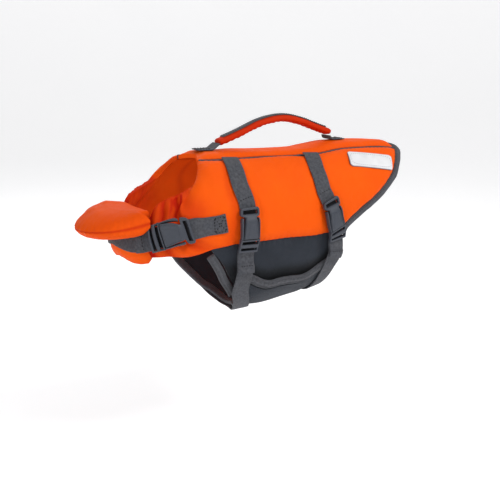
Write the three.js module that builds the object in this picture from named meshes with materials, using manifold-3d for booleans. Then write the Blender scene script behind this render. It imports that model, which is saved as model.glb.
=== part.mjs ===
// A dog life jacket, filled out as it is worn with no wearer in it.
// Millimetres. +X runs towards the tail, +Y to the wearer's right, +Z up.
// The origin is where the wearer's back carries the jacket: the inner face of the back panel, on its centre
// line.
//
// Every cloth piece lies on one smooth figure, the hollow that a wearer fills. A place on the figure is (u, v).
// u is the station along the back in mm. v is the angle round the ring in degrees, 0 at the spine and 180 at
// the bottom, negative on the wearer's left. A height is how far a point stands out from the figure.
import * as THREE from "three";
import { mergeVertices } from "three/addons/utils/BufferGeometryUtils.js";
import Module from "manifold-3d";

const wasm = await Module();
wasm.setup();

// Driving dimensions
const FOAM = 8.5; // back and side panels, at their middle
const FOAM_EDGE = 4.4; // the same panels where they are sewn flat
const FOAM_ROLL = 11; // how far in from a seam the foam reaches its full height
const WING = 6; // the soft wings of the side panels, round the chest
const CHEST_FOAM = 7.5;
const NEOPRENE = 3;
const WEBBING = 1.4;
const WEBBING_WIDTH = 19;
const SEAM = 0.35; // clear gap between pieces that meet
const LIFT = 0.6; // clear gap between a panel and what lies on it
const PIPING_RADIUS = 1.3;
const BINDING_WIDTH = 7.4;
const BINDING_HEIGHT = 6.2;
const EDGE_BINDING_HEIGHT = 4.6; // where it binds neoprene
const HEM_BINDING_WIDTH = 10.5; // the wide band round the belly panel's top and front, and down the flap
const BUCKLE_WIDTH = 22;
const BUCKLE_LENGTH = 46;
const GRIP_WIDTH = 16;
const GRIP_THICKNESS = 8;
const LABEL = { length: 61, height: 20, corner: 4, thickness: 1, tilt: 0.16 };

// The rings of the figure, from the neck to the tail. Each ring hangs from the spine at its station. Its side
// view is a curve from the spine past a bow point to the foot: straight down on the trunk, and swung forward at
// the neck, where the foot rings climb the chest. Half is its half width, widest the share of the way down
// where the ring is widest, and power how square its shoulders are.
const RINGS = [
  { u: -160, topZ: 3, bowX: -146, bowZ: -34, footX: -214, footZ: -26, half: 40, widest: 0.5, power: 2.5 },
  { u: -146, topZ: 3, bowX: -153, bowZ: -51, footX: -217, footZ: -51, half: 47, widest: 0.5, power: 2.5 },
  { u: -135, topZ: 3, bowX: -166, bowZ: -69, footX: -222, footZ: -77, half: 57, widest: 0.46, power: 2.5 },
  { u: -127, topZ: 2.8, bowX: -162, bowZ: -81, footX: -216, footZ: -103, half: 61, widest: 0.44, power: 2.5 },
  { u: -119, topZ: 2.6, bowX: -138, bowZ: -83, footX: -170, footZ: -147, half: 63, widest: 0.43, power: 2.5 },
  { u: -110, topZ: 2.4, bowX: -110, bowZ: -82, footX: -110, footZ: -164, half: 64, widest: 0.43, power: 2.5 },
  { u: -75, topZ: 1.6, bowX: -75, bowZ: -82, footX: -75, footZ: -164, half: 64, widest: 0.43, power: 2.5 },
  { u: -20, topZ: -0.4, bowX: -20, bowZ: -80, footX: -20, footZ: -158, half: 63, widest: 0.43, power: 2.5 },
  { u: 0, topZ: 0, bowX: 0, bowZ: -77, footX: 0, footZ: -153, half: 62, widest: 0.43, power: 2.5 },
  { u: 15, topZ: 1.6, bowX: 15, bowZ: -75, footX: 15, footZ: -149, half: 61, widest: 0.44, power: 2.5 },
  { u: 50, topZ: 5.6, bowX: 50, bowZ: -70, footX: 50, footZ: -140, half: 58, widest: 0.45, power: 2.4 },
  { u: 95, topZ: 4.2, bowX: 95, bowZ: -63, footX: 95, footZ: -127, half: 53, widest: 0.47, power: 2.3 },
  { u: 145, topZ: -1, bowX: 145, bowZ: -57, footX: 145, footZ: -113, half: 46, widest: 0.5, power: 2.2 },
];

// Room beside seams, in degrees: half of what the piping takes, the gap below the lower seam, and the binding
// along the belly panel's top edge
const PIPING_ROOM = (PIPING_RADIUS + SEAM) / 0.95;
const SEAM_ROOM = SEAM / 1.2;
const HEM_ROOM = (HEM_BINDING_WIDTH + 3.4 * SEAM) / 1.25;

// Seams and edges, alike on both sides. A row is a place, with v taken from the spine.
const PIPING = [
  { u: -146, v: 21 },
  { u: -110, v: 20.3 },
  { u: -74, v: 19 },
  { u: -35, v: 17.3 },
  { u: -8, v: 18.2 },
  { u: 14, v: 21 },
  { u: 50, v: 22 },
  { u: 111, v: 20.5 },
  { u: 145, v: 20.5 },
];
const LOWER_SEAM = [
  { u: -146, v: 99 },
  { u: -112, v: 97.9 },
  { u: -60, v: 97.3 },
  { u: -10, v: 99.9 },
  { u: 40, v: 103.4 },
];
const NECK_EDGE = [
  { v: 0, u: -131 },
  { v: 20, u: -138.5 },
  { v: 50, u: -143.5 },
  { v: 68, u: -148 },
  { v: 84, u: -155 },
  { v: 100, u: -156.5 },
  { v: 115, u: -155.5 },
  { v: 126, u: -153 },
  { v: 132, u: -149 },
  { v: 136, u: -144 },
  { v: 140, u: -141.3 },
  { v: 180, u: -141.3 },
];
const REAR_EDGE = [
  { v: 0, u: 131 },
  { v: 14, u: 129 },
  { v: 22, u: 127 },
  { v: 34, u: 120.5 },
  { v: 47, u: 112.5 },
  { v: 59, u: 104.5 },
  { v: 68, u: 94 },
  { v: 75, u: 84 },
  { v: 81, u: 73 },
  { v: 85, u: 63 },
  { v: 89, u: 50 },
  { v: 93, u: 37 },
  { v: 98, u: 26 },
  { v: 103, u: 22 },
];
const CHEST_EDGE = [
  { v: 98, u: -112 },
  { v: 102.2, u: -118.6 },
  { v: 108.3, u: -121.5 },
  { v: 115.4, u: -123.8 },
  { v: 125, u: -126.6 },
  { v: 138, u: -128.2 },
];
const CHEST_FOOT = [
  { v: 138, u: -128 },
  { v: 143, u: -126.8 },
  { v: 152, u: -127 },
  { v: 162, u: -127.6 },
  { v: 172, u: -128.6 },
  { v: 180, u: -129 },
];
// The front edges of the flap and of the belly panel, inside their bands. The belly panel's is read from the
// right lower seam under the belly to the left, where it ends under the front strap.
const FLAP_FRONT = [
  { v: 98, u: -119.9 },
  { v: 104.5, u: -118.1 },
  { v: 110.6, u: -116 },
  { v: 117.8, u: -114.1 },
  { v: 123.9, u: -112.8 },
  { v: 129.6, u: -111.1 },
  { v: 137.5, u: -107.2 },
  { v: 144.2, u: -103.4 },
  { v: 152, u: -99.5 },
];
const BELLY_FRONT = [
  ...FLAP_FRONT.slice(0, 8).map(({ v, u }) => ({ turn: v, u })),
  { turn: 152, u: -95.5 },
  { turn: 167, u: -87 },
  { turn: 180, u: -85 },
  { turn: 193, u: -87 },
  { turn: 206, u: -94 },
  { turn: 215, u: -98.5 },
  { turn: 228, u: -102.5 },
  { turn: 243, u: -103.5 },
];
const WAIST = [
  { v: 98, u: 21 },
  { v: 123, u: 20.5 },
  { v: 134, u: 17 },
  { v: 150, u: 15 },
  { v: 180, u: 14 },
];
// The free top edge of the belly panel on the left, which sags between the two straps
const BELLY_TOP = [
  { u: -118, v: 117 },
  { u: -101, v: 119.2 },
  { u: -82, v: 123.4 },
  { u: -67, v: 125.4 },
  { u: -56, v: 124.6 },
  { u: -46, v: 125 },
  { u: -24, v: 127.2 },
  { u: -8, v: 126.4 },
  { u: 8, v: 122 },
  { u: 30, v: 118 },
];

// Middle lines of the straps, from the spine down
const FRONT_STRAP = [
  { v: 0, u: -104 },
  { v: 21, u: -105.2 },
  { v: 40, u: -107.5 },
  { v: 53, u: -108.5 },
  { v: 75, u: -104.8 },
  { v: 88, u: -105.2 },
  { v: 114, u: -106.3 },
  { v: 130, u: -106.5 },
  { v: 150, u: -99 },
  { v: 167, u: -90 },
  { v: 180, u: -87 },
];
const REAR_STRAP = [
  { v: 0, u: 3 },
  { v: 20, u: 1.5 },
  { v: 47, u: -4.9 },
  { v: 66, u: -4.3 },
  { v: 77, u: 0.4 },
  { v: 91, u: 6 },
  { v: 104, u: 12.5 },
  { v: 112, u: 14 },
  { v: 124, u: 11.5 },
  { v: 140, u: 8.5 },
  { v: 180, u: 5 },
];
const NECK_STRAP = [
  { v: 83, u: -113.5 },
  { v: 85.2, u: -117.7 },
  { v: 89.6, u: -124.5 },
  { v: 94.4, u: -128.5 },
  { v: 102.7, u: -131.5 },
  { v: 112, u: -133.4 },
  { v: 125, u: -134.4 },
  { v: 150, u: -134.7 },
  { v: 165, u: -135.8 },
  { v: 180, u: -136.8 },
];

const mix = THREE.MathUtils.lerp;
const clamp = THREE.MathUtils.clamp;
const smooth = THREE.MathUtils.smoothstep;
const range = (count, make) => Array.from({ length: count + 1 }, (_, i) => make(i / count));
// Runs from 0 to 1 with its steps closer together near both ends.
const gather = (t) => mix(t, 0.5 - 0.5 * Math.cos(Math.PI * t), 0.6);

// Reads a table at a place between its rows, with a smooth curve that never overshoots them.
function read(table, key, at, column) {
  const last = table.length - 1;
  const x = clamp(at, table[0][key], table[last][key]);
  let i = 0;
  while (i < last - 1 && x > table[i + 1][key]) i += 1;
  const span = (k) => table[k + 1][key] - table[k][key];
  const rise = (k) => (table[k + 1][column] - table[k][column]) / span(k);
  const slope = (k) => {
    if (k === 0) return rise(0);
    if (k === last) return rise(last - 1);
    const [before, after] = [rise(k - 1), rise(k)];
    if (before * after <= 0) return 0;
    const near = 2 * span(k) + span(k - 1);
    const far = span(k) + 2 * span(k - 1);
    return (near + far) / (near / before + far / after);
  };
  const t = (x - table[i][key]) / span(i);
  const [t2, t3] = [t * t, t * t * t];
  return (
    (2 * t3 - 3 * t2 + 1) * table[i][column] +
    (t3 - 2 * t2 + t) * span(i) * slope(i) +
    (3 * t2 - 2 * t3) * table[i + 1][column] +
    (t3 - t2) * span(i) * slope(i + 1)
  );
}

// An angle past the bottom, such as 200, is 160 on the other side.
const sideAngle = (v) => Math.abs(((v + 900) % 360) - 180);
// The same angle counted from 0 to 360, up to 180 on the right and past it on the left.
const turnAngle = (v) => (v + 720) % 360;

function figure(u, v) {
  const turned = THREE.MathUtils.degToRad(v);
  const column = (name) => read(RINGS, "u", u, name);
  const [c, s] = [Math.cos(turned), Math.sin(turned)];
  const power = c >= 0 ? column("power") : 2;
  const arc = Math.abs(c) ** (2 / power);
  const widest = column("widest");
  const down = c >= 0 ? widest * (1 - arc) : widest + (1 - widest) * arc;
  const y = Math.sign(s) * column("half") * Math.abs(s) ** (2 / power);
  const [a, b, d] = [(1 - down) ** 2, 2 * down * (1 - down), down ** 2];
  const x = a * clamp(u, RINGS[0].u, RINGS.at(-1).u) + b * column("bowX") + d * column("footX");
  const z = a * column("topZ") + b * column("bowZ") + d * column("footZ");
  return new THREE.Vector3(x, y, z);
}

const PROBE = 1;
function slopes(u, v) {
  const [before, after] = [Math.max(u - PROBE, RINGS[0].u), Math.min(u + PROBE, RINGS.at(-1).u)];
  const alongU = figure(after, v).sub(figure(before, v)).divideScalar(after - before);
  const alongV = figure(u, v + PROBE).sub(figure(u, v - PROBE)).divideScalar(2 * PROBE);
  return { alongU, alongV, out: new THREE.Vector3().crossVectors(alongU, alongV).normalize() };
}

const stand = (u, v, height) => figure(u, v).addScaledVector(slopes(u, v).out, height);

// The place reached from (u, v) by so many mm along the figure, in a direction given in space. It is taken in a
// few short steps, as a degree or a station isn't the same length everywhere.
const SHORT_STEPS = 4;
function stepOn(u, v, direction, length) {
  let at = { u, v };
  for (let k = 0; k < SHORT_STEPS; k += 1) {
    const { alongU, alongV } = slopes(at.u, at.v);
    const [uu, uv, vv] = [alongU.dot(alongU), alongU.dot(alongV), alongV.dot(alongV)];
    const [du, dv] = [direction.dot(alongU), direction.dot(alongV)];
    const share = length / SHORT_STEPS / (uu * vv - uv * uv);
    at = { u: at.u + share * (du * vv - dv * uv), v: at.v + share * (dv * uu - du * uv) };
  }
  return at;
}

// Heights of the outer faces of the panels. Foam rolls down to its seams: roll is how far it has risen, from 0
// to 1, so many mm in from a seam.
const roll = (inset) => Math.sin((Math.PI / 2) * clamp(inset / FOAM_ROLL, 0, 1));
const CHEST_SIDE = 138; // where the chest panel begins on each side

function sideHeight(u, v) {
  const a = sideAngle(v);
  const { alongU, alongV } = slopes(u, v);
  const [mmU, mmV] = [alongU.length(), alongV.length()];
  const belowPiping = (a - read(PIPING, "u", u, "v")) * mmV;
  const aboveSeam = (read(LOWER_SEAM, "u", u, "v") - a) * mmV;
  const aboveChestEdge = (read(CHEST_EDGE, "v", a, "u") - u) * mmU;
  const behindNeck = (u - read(NECK_EDGE, "v", a, "u")) * mmU;
  const beforeRear = (read(REAR_EDGE, "v", a, "u") - u) * mmU;
  const rise =
    roll(belowPiping) *
    roll(Math.max(aboveSeam, aboveChestEdge)) *
    roll(behindNeck) *
    roll(beforeRear) *
    roll((CHEST_SIDE - a) * mmV);
  const wing = smooth(a, 84, 106) * (1 - smooth(u, -118, -104));
  const shaped = folds(u, a) * (0.4 + 0.6 * rise) - strapPress(u, v) * rise;
  return mix(FOAM_EDGE, mix(FOAM, WING, wing), rise) + shaped;
}
// The straps draw the foam in under them.
function strapPress(u, v) {
  const a = sideAngle(v);
  const pressed = (line) => Math.exp(-(((u - read(line, "v", a, "u")) / 12) ** 2));
  return 2.2 * (pressed(FRONT_STRAP) + pressed(REAR_STRAP));
}
// The wing gathers where the neck strap draws it in. A row is the middle of a fold.
const FOLDS = [
  { v: 94, depth: 1.2, width: 5 },
  { v: 103, depth: -2.0, width: 4.4 },
  { v: 112, depth: 1.3, width: 4.4 },
  { v: 120.5, depth: -1.4, width: 4 },
  { v: 128, depth: 0.9, width: 4 },
  { v: 135, depth: -1.2, width: 3.6 },
];
function folds(u, a) {
  const wave = FOLDS.reduce((sum, f) => sum + f.depth * Math.exp(-(((a - f.v) / f.width) ** 2)), 0);
  return wave * (1 - smooth(u, -124, -114));
}
function backHeight(u, v) {
  const a = sideAngle(v);
  const { alongV } = slopes(u, v);
  const rise =
    roll((read(PIPING, "u", u, "v") - a) * alongV.length()) *
    roll(u - read(NECK_EDGE, "v", a, "u")) *
    roll(read(REAR_EDGE, "v", a, "u") - u);
  return mix(FOAM_EDGE, FOAM, rise);
}
function chestHeight(u, v) {
  const a = sideAngle(v);
  const { alongU, alongV } = slopes(u, v);
  const rise =
    roll((u - read(NECK_EDGE, "v", a, "u")) * alongU.length()) *
    roll((read(CHEST_FOOT, "v", a, "u") - u) * alongU.length()) *
    roll((a - CHEST_SIDE) * alongV.length());
  return mix(FOAM_EDGE, CHEST_FOAM, rise);
}
// The belly panel lies on the figure from the right seam to the bottom, climbs onto the flap on the left, and
// stands off it between the straps.
const FLAP_FOOT = 152;
const OVER_FLAP = NEOPRENE + 1.9;
function bellyLow(u, v) {
  const turn = turnAngle(v);
  const over = smooth(turn, 360 - FLAP_FOOT - 16, 360 - FLAP_FOOT - 3) * OVER_FLAP;
  const between = smooth(u, -98, -70) * (1 - smooth(u, -28, 0));
  return over + 3.4 * between * smooth(turn, 360 - FLAP_FOOT, 360 - 130);
}
// The outermost piece at a place, for what lies across several of them
function outermost(u, v) {
  const a = sideAngle(v);
  const turn = turnAngle(v);
  if (a > CHEST_SIDE && u < -120) return chestHeight(u, v);
  if (u < -114 && a > 97) return sideHeight(u, v);
  if (a < read(LOWER_SEAM, "u", u, "v") + 0.4) return sideHeight(u, v);
  const onBelly = turn < 360 - read(BELLY_TOP, "u", u, "v") + 2;
  const front = onBelly ? read(BELLY_FRONT, "turn", turn, "u") : read(FLAP_FRONT, "v", a, "u");
  const onEdge = u < front || u > read(WAIST, "v", a, "u");
  const onHem = turn > 360 - read(BELLY_TOP, "u", u, "v") - HEM_ROOM - 1;
  const cloth = onEdge || (onBelly && onHem) ? EDGE_BINDING_HEIGHT - 0.7 : NEOPRENE;
  return onBelly ? bellyLow(u, v) + cloth : cloth;
}
// Makes a list of heights span its small steps: each is the highest of those near it, evened out.
const NEAR = 3; // places
function spanned(heights) {
  const around = (list, k) => list.slice(Math.max(0, k - NEAR), k + NEAR + 1);
  const highest = heights.map((_, k) => Math.max(...around(heights, k)));
  return highest.map((_, k) => around(highest, k).reduce((sum, h) => sum + h, 0) / around(highest, k).length);
}

// A closed solid through loops that all have the same even number of points, each end closed across.
function loft(loops) {
  const count = loops[0].length;
  const positions = loops.flat().flatMap((p) => [p.x, p.y, p.z]);
  const index = [];
  for (let j = 0; j + 1 < loops.length; j += 1) {
    for (let i = 0; i < count; i += 1) {
      const [a, b] = [j * count + i, j * count + ((i + 1) % count)];
      index.push(a, b, b + count, a, b + count, a + count);
    }
  }
  const last = (loops.length - 1) * count;
  for (let i = 0; i < count / 2 - 1; i += 1) {
    const [a, b, c, d] = [i, i + 1, count - 2 - i, count - 1 - i];
    index.push(a, c, b, a, d, c);
    index.push(last + a, last + b, last + c, last + a, last + c, last + d);
  }
  return facingOut(positions, index);
}

function facingOut(positions, index) {
  const corner = (k) => new THREE.Vector3().fromArray(positions, 3 * k);
  let volume = 0;
  for (let i = 0; i < index.length; i += 3) {
    volume += corner(index[i]).dot(corner(index[i + 1]).cross(corner(index[i + 2])));
  }
  if (volume < 0) index.reverse();
  const geometry = new THREE.BufferGeometry();
  geometry.setAttribute("position", new THREE.Float32BufferAttribute(positions, 3));
  geometry.setIndex(index);
  return geometry;
}

// A wall of cloth: a grid of places, an inner face and an outer face.
function wall(columns, rows, place, low, high) {
  const loops = [];
  for (let j = 0; j <= columns; j += 1) {
    const inner = [];
    const outer = [];
    for (let i = 0; i <= rows; i += 1) {
      const { u, v } = place(j / columns, i / rows);
      outer.push(stand(u, v, high(u, v)));
      inner.unshift(stand(u, v, low(u, v)));
    }
    loops.push([...outer, ...inner]);
  }
  return loft(loops);
}

// The frame of a line of places: the direction along it, across it on the figure, and out.
function frames(line) {
  const points = line.map(({ u, v }) => stand(u, v, 0));
  return line.map(({ u, v }, k) => {
    const [before, after] = [points[Math.max(k - 1, 0)], points[Math.min(k + 1, line.length - 1)]];
    const along = after.clone().sub(before).normalize();
    const { out } = slopes(u, v);
    return { u, v, along, out, across: new THREE.Vector3().crossVectors(out, along).normalize() };
  });
}

// A rounded bead along a line of places, moved sideways from it, with its middle at a height.
function bead(line, aside, height, width, thickness, sides = 8) {
  const loops = frames(line).map((f) => {
    const at = stepOn(f.u, f.v, f.across, aside);
    const { out } = slopes(at.u, at.v);
    const centre = stand(at.u, at.v, height(f.u, f.v));
    return Array.from({ length: sides }, (_, i) => {
      const turn = (2 * Math.PI * (i + 0.5)) / sides;
      const flat = (value) => Math.sign(value) * Math.abs(value) ** 0.75;
      return centre
        .clone()
        .addScaledVector(f.across, (width / 2) * flat(Math.cos(turn)))
        .addScaledVector(out, (thickness / 2) * flat(Math.sin(turn)));
    });
  });
  return loft(loops);
}

// A strap's line of places, with lengths measured along it from its start: at(s) is the frame at s mm, where(v)
// the length at an angle, and rest(s) how high the strap rests on what it lies across.
const REST_STEP = 2; // mm
function route(table, from, to) {
  const line = range(Math.round(Math.abs(to - from)), (t) => {
    const v = -mix(from, to, t);
    return { u: read(table, "v", sideAngle(v), "u"), v };
  });
  const points = line.map(({ u, v }) => stand(u, v, 0));
  const lengths = [0];
  points.slice(1).forEach((p, k) => lengths.push(lengths[k] + p.distanceTo(points[k])));
  const length = lengths.at(-1);
  const place = (s) => {
    const k = clamp(lengths.findIndex((l) => l > s) - 1, 0, line.length - 2);
    const last = s >= length;
    const t = last ? 1 : (s - lengths[k]) / (lengths[k + 1] - lengths[k]);
    const [a, b] = last ? line.slice(-2) : [line[k], line[k + 1]];
    return { u: mix(a.u, b.u, t), v: mix(a.v, b.v, t) };
  };
  const at = (s) => {
    const here = place(s);
    const [before, after] = [place(s - 2), place(s + 2)];
    const along = stand(after.u, after.v, 0).sub(stand(before.u, before.v, 0)).normalize();
    const across = new THREE.Vector3().crossVectors(slopes(here.u, here.v).out, along).normalize();
    return { ...here, across };
  };
  const where = (v) => {
    const t = ((v - from) / (to - from)) * (line.length - 1);
    const k = clamp(Math.floor(t), 0, line.length - 2);
    return mix(lengths[k], lengths[k + 1], t - k);
  };
  const highestAcross = (t) => {
    const { u, v, across } = at(t * length);
    const under = range(4, (share) => stepOn(u, v, across, (share - 0.5) * WEBBING_WIDTH));
    return Math.max(...under.map((p) => outermost(p.u, p.v)));
  };
  const heights = spanned(range(Math.ceil(length / REST_STEP), highestAcross));
  const rest = (s) => {
    const t = clamp(s / length, 0, 1) * (heights.length - 1);
    const k = Math.min(Math.floor(t), heights.length - 2);
    return mix(heights[k], heights[k + 1], t - k) + LIFT;
  };
  return { at, where, rest, length };
}

// A flat piece along a route, through a list of lengths. Half is its half width, low its underside and thick
// its thickness, all at a length, and rows the steps across it.
function strip(line, lengths, rows, half, low, thick) {
  const loops = lengths.map((s) => {
    const { u, v, across } = line.at(s);
    const [bottom, top] = [[], []];
    range(rows, (share) => {
      const side = 2 * share - 1;
      const at = stepOn(u, v, across, side * half(s));
      bottom.push(stand(at.u, at.v, low(s)));
      top.unshift(stand(at.u, at.v, low(s) + thick(s, side)));
    });
    return [...bottom, ...top];
  });
  return loft(loops);
}
// The lengths between two ends, at the same places for all the strips of a line, so that one lies even on
// another
function marks(from, to, step) {
  const inner = range(Math.ceil(to / step), (t) => Math.round(t * Math.ceil(to / step)) * step);
  return [from, ...inner.filter((s) => s > from + 1 && s < to - 1), to];
}

// A strip swept along points in the plane of the spine, square or rounded
function sweep(points, width, thickness, sides) {
  const loops = points.map((p, k) => {
    const [before, after] = [points[Math.max(k - 1, 0)], points[Math.min(k + 1, points.length - 1)]];
    const along = after.clone().sub(before).normalize();
    const up = new THREE.Vector3(-along.z, 0, along.x);
    return Array.from({ length: sides }, (_, i) => {
      const turn = (2 * Math.PI * (i + 0.5)) / sides;
      const reach = sides === 4 ? Math.SQRT2 : 1;
      return p
        .clone()
        .addScaledVector(up, (thickness / 2) * reach * Math.sin(turn))
        .add(new THREE.Vector3(0, (width / 2) * reach * Math.cos(turn), 0));
    });
  });
  return loft(loops);
}

// Cutting and joining
function solid(geometry) {
  const bare = new THREE.BufferGeometry();
  bare.setAttribute("position", geometry.getAttribute("position"));
  bare.setIndex(geometry.getIndex());
  const merged = mergeVertices(bare);
  const vertProperties = new Float32Array(merged.getAttribute("position").array);
  const triVerts = new Uint32Array(merged.getIndex().array);
  return new wasm.Manifold(new wasm.Mesh({ numProp: 3, vertProperties, triVerts }));
}
function geometryOf(manifold) {
  const { vertProperties, triVerts } = manifold.getMesh();
  const geometry = new THREE.BufferGeometry();
  geometry.setAttribute("position", new THREE.BufferAttribute(new Float32Array(vertProperties), 3));
  geometry.setIndex(new THREE.BufferAttribute(new Uint32Array(triVerts), 1));
  return geometry;
}

// Materials
const finish = (color, roughness) => new THREE.MeshStandardMaterial({ color, roughness, metalness: 0 });
const ORANGE = finish(0xf04e0a, 0.62);
const SLATE = finish(0x2e3540, 0.75);
const GREY = finish(0x55565c, 0.8);
const PLASTIC = finish(0x4a4f58, 0.42);
const WHITE = finish(0xe9e9e6, 0.5);

const jacket = new THREE.Group();
function add(name, geometry, material) {
  const mesh = new THREE.Mesh(geometry, material);
  mesh.name = name;
  jacket.add(mesh);
}
const SIDES = [
  { name: "left", sign: -1 },
  { name: "right", sign: 1 },
];
const onFigure = () => 0;
const neoprene = () => NEOPRENE;

// Back panel, between the two lines of piping
add(
  "back_panel",
  wall(
    24,
    6,
    (a, b) => {
      const side = 2 * gather(b) - 1;
      const level = Math.abs(side) * 20;
      const u = mix(read(NECK_EDGE, "v", level, "u"), read(REAR_EDGE, "v", level, "u"), gather(a));
      return { u, v: side * (read(PIPING, "u", u, "v") - PIPING_ROOM) };
    },
    onFigure,
    backHeight,
  ),
  ORANGE,
);

// A side panel and its wing are one cut. The grid spans a foot line, along the chest edge and the lower seam,
// and a head line, along the neck edge and the piping. The shares are where the wing ends and where the trunk
// begins.
const WING_SHARE = 0.25;
const TRUNK_SHARE = 0.44;
const SEAM_START = -113.5; // where the foot line passes from the chest edge to the lower seam
const TRUNK_START = -106;
function sidePlace(a, b) {
  const tail = { top: read(PIPING, "u", 127, "v") + PIPING_ROOM, foot: 102.9 };
  const rear = (v) => ({ u: read(REAR_EDGE, "v", v, "u"), v });
  const foot = () => {
    if (a < WING_SHARE) {
      const v = mix(CHEST_SIDE - 0.2, 102.2, a / WING_SHARE);
      return { u: read(CHEST_EDGE, "v", v, "u"), v };
    }
    if (a < TRUNK_SHARE) {
      const u = mix(-118.6, TRUNK_START, (a - WING_SHARE) / (TRUNK_SHARE - WING_SHARE));
      const beforeSeam = clamp((SEAM_START - u) / (SEAM_START + 118.6), 0, 1);
      return { u, v: mix(read(LOWER_SEAM, "u", u, "v"), 102.2, beforeSeam) };
    }
    const u = mix(TRUNK_START, rear(tail.foot).u, (a - TRUNK_SHARE) / (1 - TRUNK_SHARE));
    return { u, v: read(LOWER_SEAM, "u", u, "v") };
  };
  const head = () => {
    const corner = read(PIPING, "u", -139, "v") + PIPING_ROOM;
    if (a < TRUNK_SHARE) {
      const share = a / TRUNK_SHARE;
      const v = mix(CHEST_SIDE - 0.2, corner, share ** 1.15);
      return { u: read(NECK_EDGE, "v", v, "u"), v };
    }
    const start = read(NECK_EDGE, "v", corner, "u");
    const u = mix(start, rear(tail.top).u, (a - TRUNK_SHARE) / (1 - TRUNK_SHARE));
    return { u, v: read(PIPING, "u", u, "v") + PIPING_ROOM };
  };
  const [low, high] = [foot(), head()];
  const level = mix(tail.top, tail.foot, b);
  const bulge = rear(level).u - mix(rear(tail.top).u, rear(tail.foot).u, b);
  const reach = clamp((a - TRUNK_SHARE) / (1 - TRUNK_SHARE), 0, 1) ** 1.3;
  return { u: mix(high.u, low.u, b) + bulge * reach, v: mix(high.v, low.v, b) };
}

for (const { name, sign } of SIDES) {
  add(
    `side_panel_${name}`,
    wall(
      42,
      9,
      (a, b) => {
        const { u, v } = sidePlace(a, gather(b));
        return { u, v: sign * v };
      },
      onFigure,
      sideHeight,
    ),
    ORANGE,
  );
  const pipingLine = range(24, (t) => {
    const u = mix(-137.2, 126.8, t);
    return { u, v: sign * read(PIPING, "u", u, "v") };
  });
  add(
    `piping_${name}`,
    bead(pipingLine, 0, () => FOAM_EDGE - 0.4, 2 * PIPING_RADIUS, 2 * PIPING_RADIUS + 0.8, 6),
    GREY,
  );
}

add(
  "chest_panel",
  wall(
    16,
    7,
    (a, b) => {
      const v = mix(CHEST_SIDE + 0.2, 360 - CHEST_SIDE - 0.2, a);
      const side = sideAngle(v);
      return { u: mix(read(NECK_EDGE, "v", side, "u"), read(CHEST_FOOT, "v", side, "u"), gather(b)), v };
    },
    onFigure,
    chestHeight,
  ),
  ORANGE,
);

// Where the flap and the belly panel are sewn to the side panels: the lower seam, then the chest edge
function clothTop(u) {
  const beforeSeam = clamp((SEAM_START - u) / (SEAM_START + 118.6), 0, 1);
  return mix(read(LOWER_SEAM, "u", u, "v"), 102.2, beforeSeam) + 2.2 * Math.max(0, -118.6 - u) + SEAM_ROOM;
}
// The cloth swings forward at its front, so the columns lie closer together there.
const frontward = (t) => t ** 1.6;

// The flap hangs from the left lower seam, under the belly panel.
add(
  "flap_left",
  wall(
    18,
    6,
    (a, b) => {
      const level = mix(101.5, FLAP_FOOT, b);
      const u = mix(read(FLAP_FRONT, "v", level, "u"), read(WAIST, "v", level, "u"), frontward(a));
      return { u, v: -mix(clothTop(u), FLAP_FOOT, b) };
    },
    onFigure,
    neoprene,
  ),
  SLATE,
);

// The belly panel goes from the right lower seam under the belly to its free edge on the left.
const bellyPlace = (a, b) => {
  const across = (v) => {
    const [front, back] = [read(BELLY_FRONT, "turn", v, "u"), read(WAIST, "v", sideAngle(v), "u")];
    return mix(front, back, frontward(b));
  };
  const u = across(mix(101.5, 232, a));
  const v = mix(clothTop(u), 360 - read(BELLY_TOP, "u", u, "v") - HEM_ROOM, a);
  return { u: mix(u, across(v), Math.min(1, 8 * a)), v };
};
add("belly_panel", wall(18, 16, bellyPlace, bellyLow, (u, v) => bellyLow(u, v) + NEOPRENE), SLATE);

// Bindings
const bindingMiddle = BINDING_WIDTH / 2 + SEAM;
const EDGE_BINDING_WIDTH = 5.4;
const edgeMiddle = EDGE_BINDING_WIDTH / 2 + 1.7 * SEAM;
const bandMiddle = 0.45 * HEM_BINDING_WIDTH + 2 * SEAM;
const edgeLine = (table, from, to, count) =>
  range(count, (t) => {
    const v = mix(from, to, t);
    const u = table === BELLY_FRONT ? read(table, "turn", v, "u") : read(table, "v", sideAngle(v), "u");
    return { u, v };
  });
add(
  "rear_binding",
  bead(edgeLine(REAR_EDGE, -102.6, 102.6, 38), -bindingMiddle, () => 2.7, BINDING_WIDTH, BINDING_HEIGHT, 6),
  GREY,
);
const onFlap = () => NEOPRENE / 2;
const onBelly = (u, v) => bellyLow(u, v) + NEOPRENE / 2;
const [narrow, wide] = [EDGE_BINDING_WIDTH, HEM_BINDING_WIDTH];
const FLAP_BINDINGS = [
  { name: "flap_binding_front", line: edgeLine(FLAP_FRONT, -106, -140, 12), aside: 0.5 - bandMiddle, width: wide },
  { name: "flap_binding_rear", line: edgeLine(WAIST, -105, -117, 4), aside: edgeMiddle, width: narrow },
];
for (const { name, line, aside, width } of FLAP_BINDINGS) {
  add(name, bead(line, aside, onFlap, width, EDGE_BINDING_HEIGHT, 6), GREY);
}
const BELLY_BINDINGS = [
  { name: "belly_binding_front", line: edgeLine(BELLY_FRONT, 106, 242.4, 36), aside: bandMiddle, width: wide },
  { name: "belly_binding_rear", line: edgeLine(WAIST, 105, 239.6, 20), aside: -edgeMiddle, width: narrow },
];
for (const { name, line, aside, width } of BELLY_BINDINGS) {
  add(name, bead(line, aside, onBelly, width, EDGE_BINDING_HEIGHT, 6), GREY);
}
const hemLine = range(18, (t) => {
  const u = mix(-101.8, 16.8, t);
  return { u, v: -(read(BELLY_TOP, "u", u, "v") + HEM_ROOM / 2) };
});
add("belly_binding_top", bead(hemLine, 0, onBelly, HEM_BINDING_WIDTH, EDGE_BINDING_HEIGHT), GREY);

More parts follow.
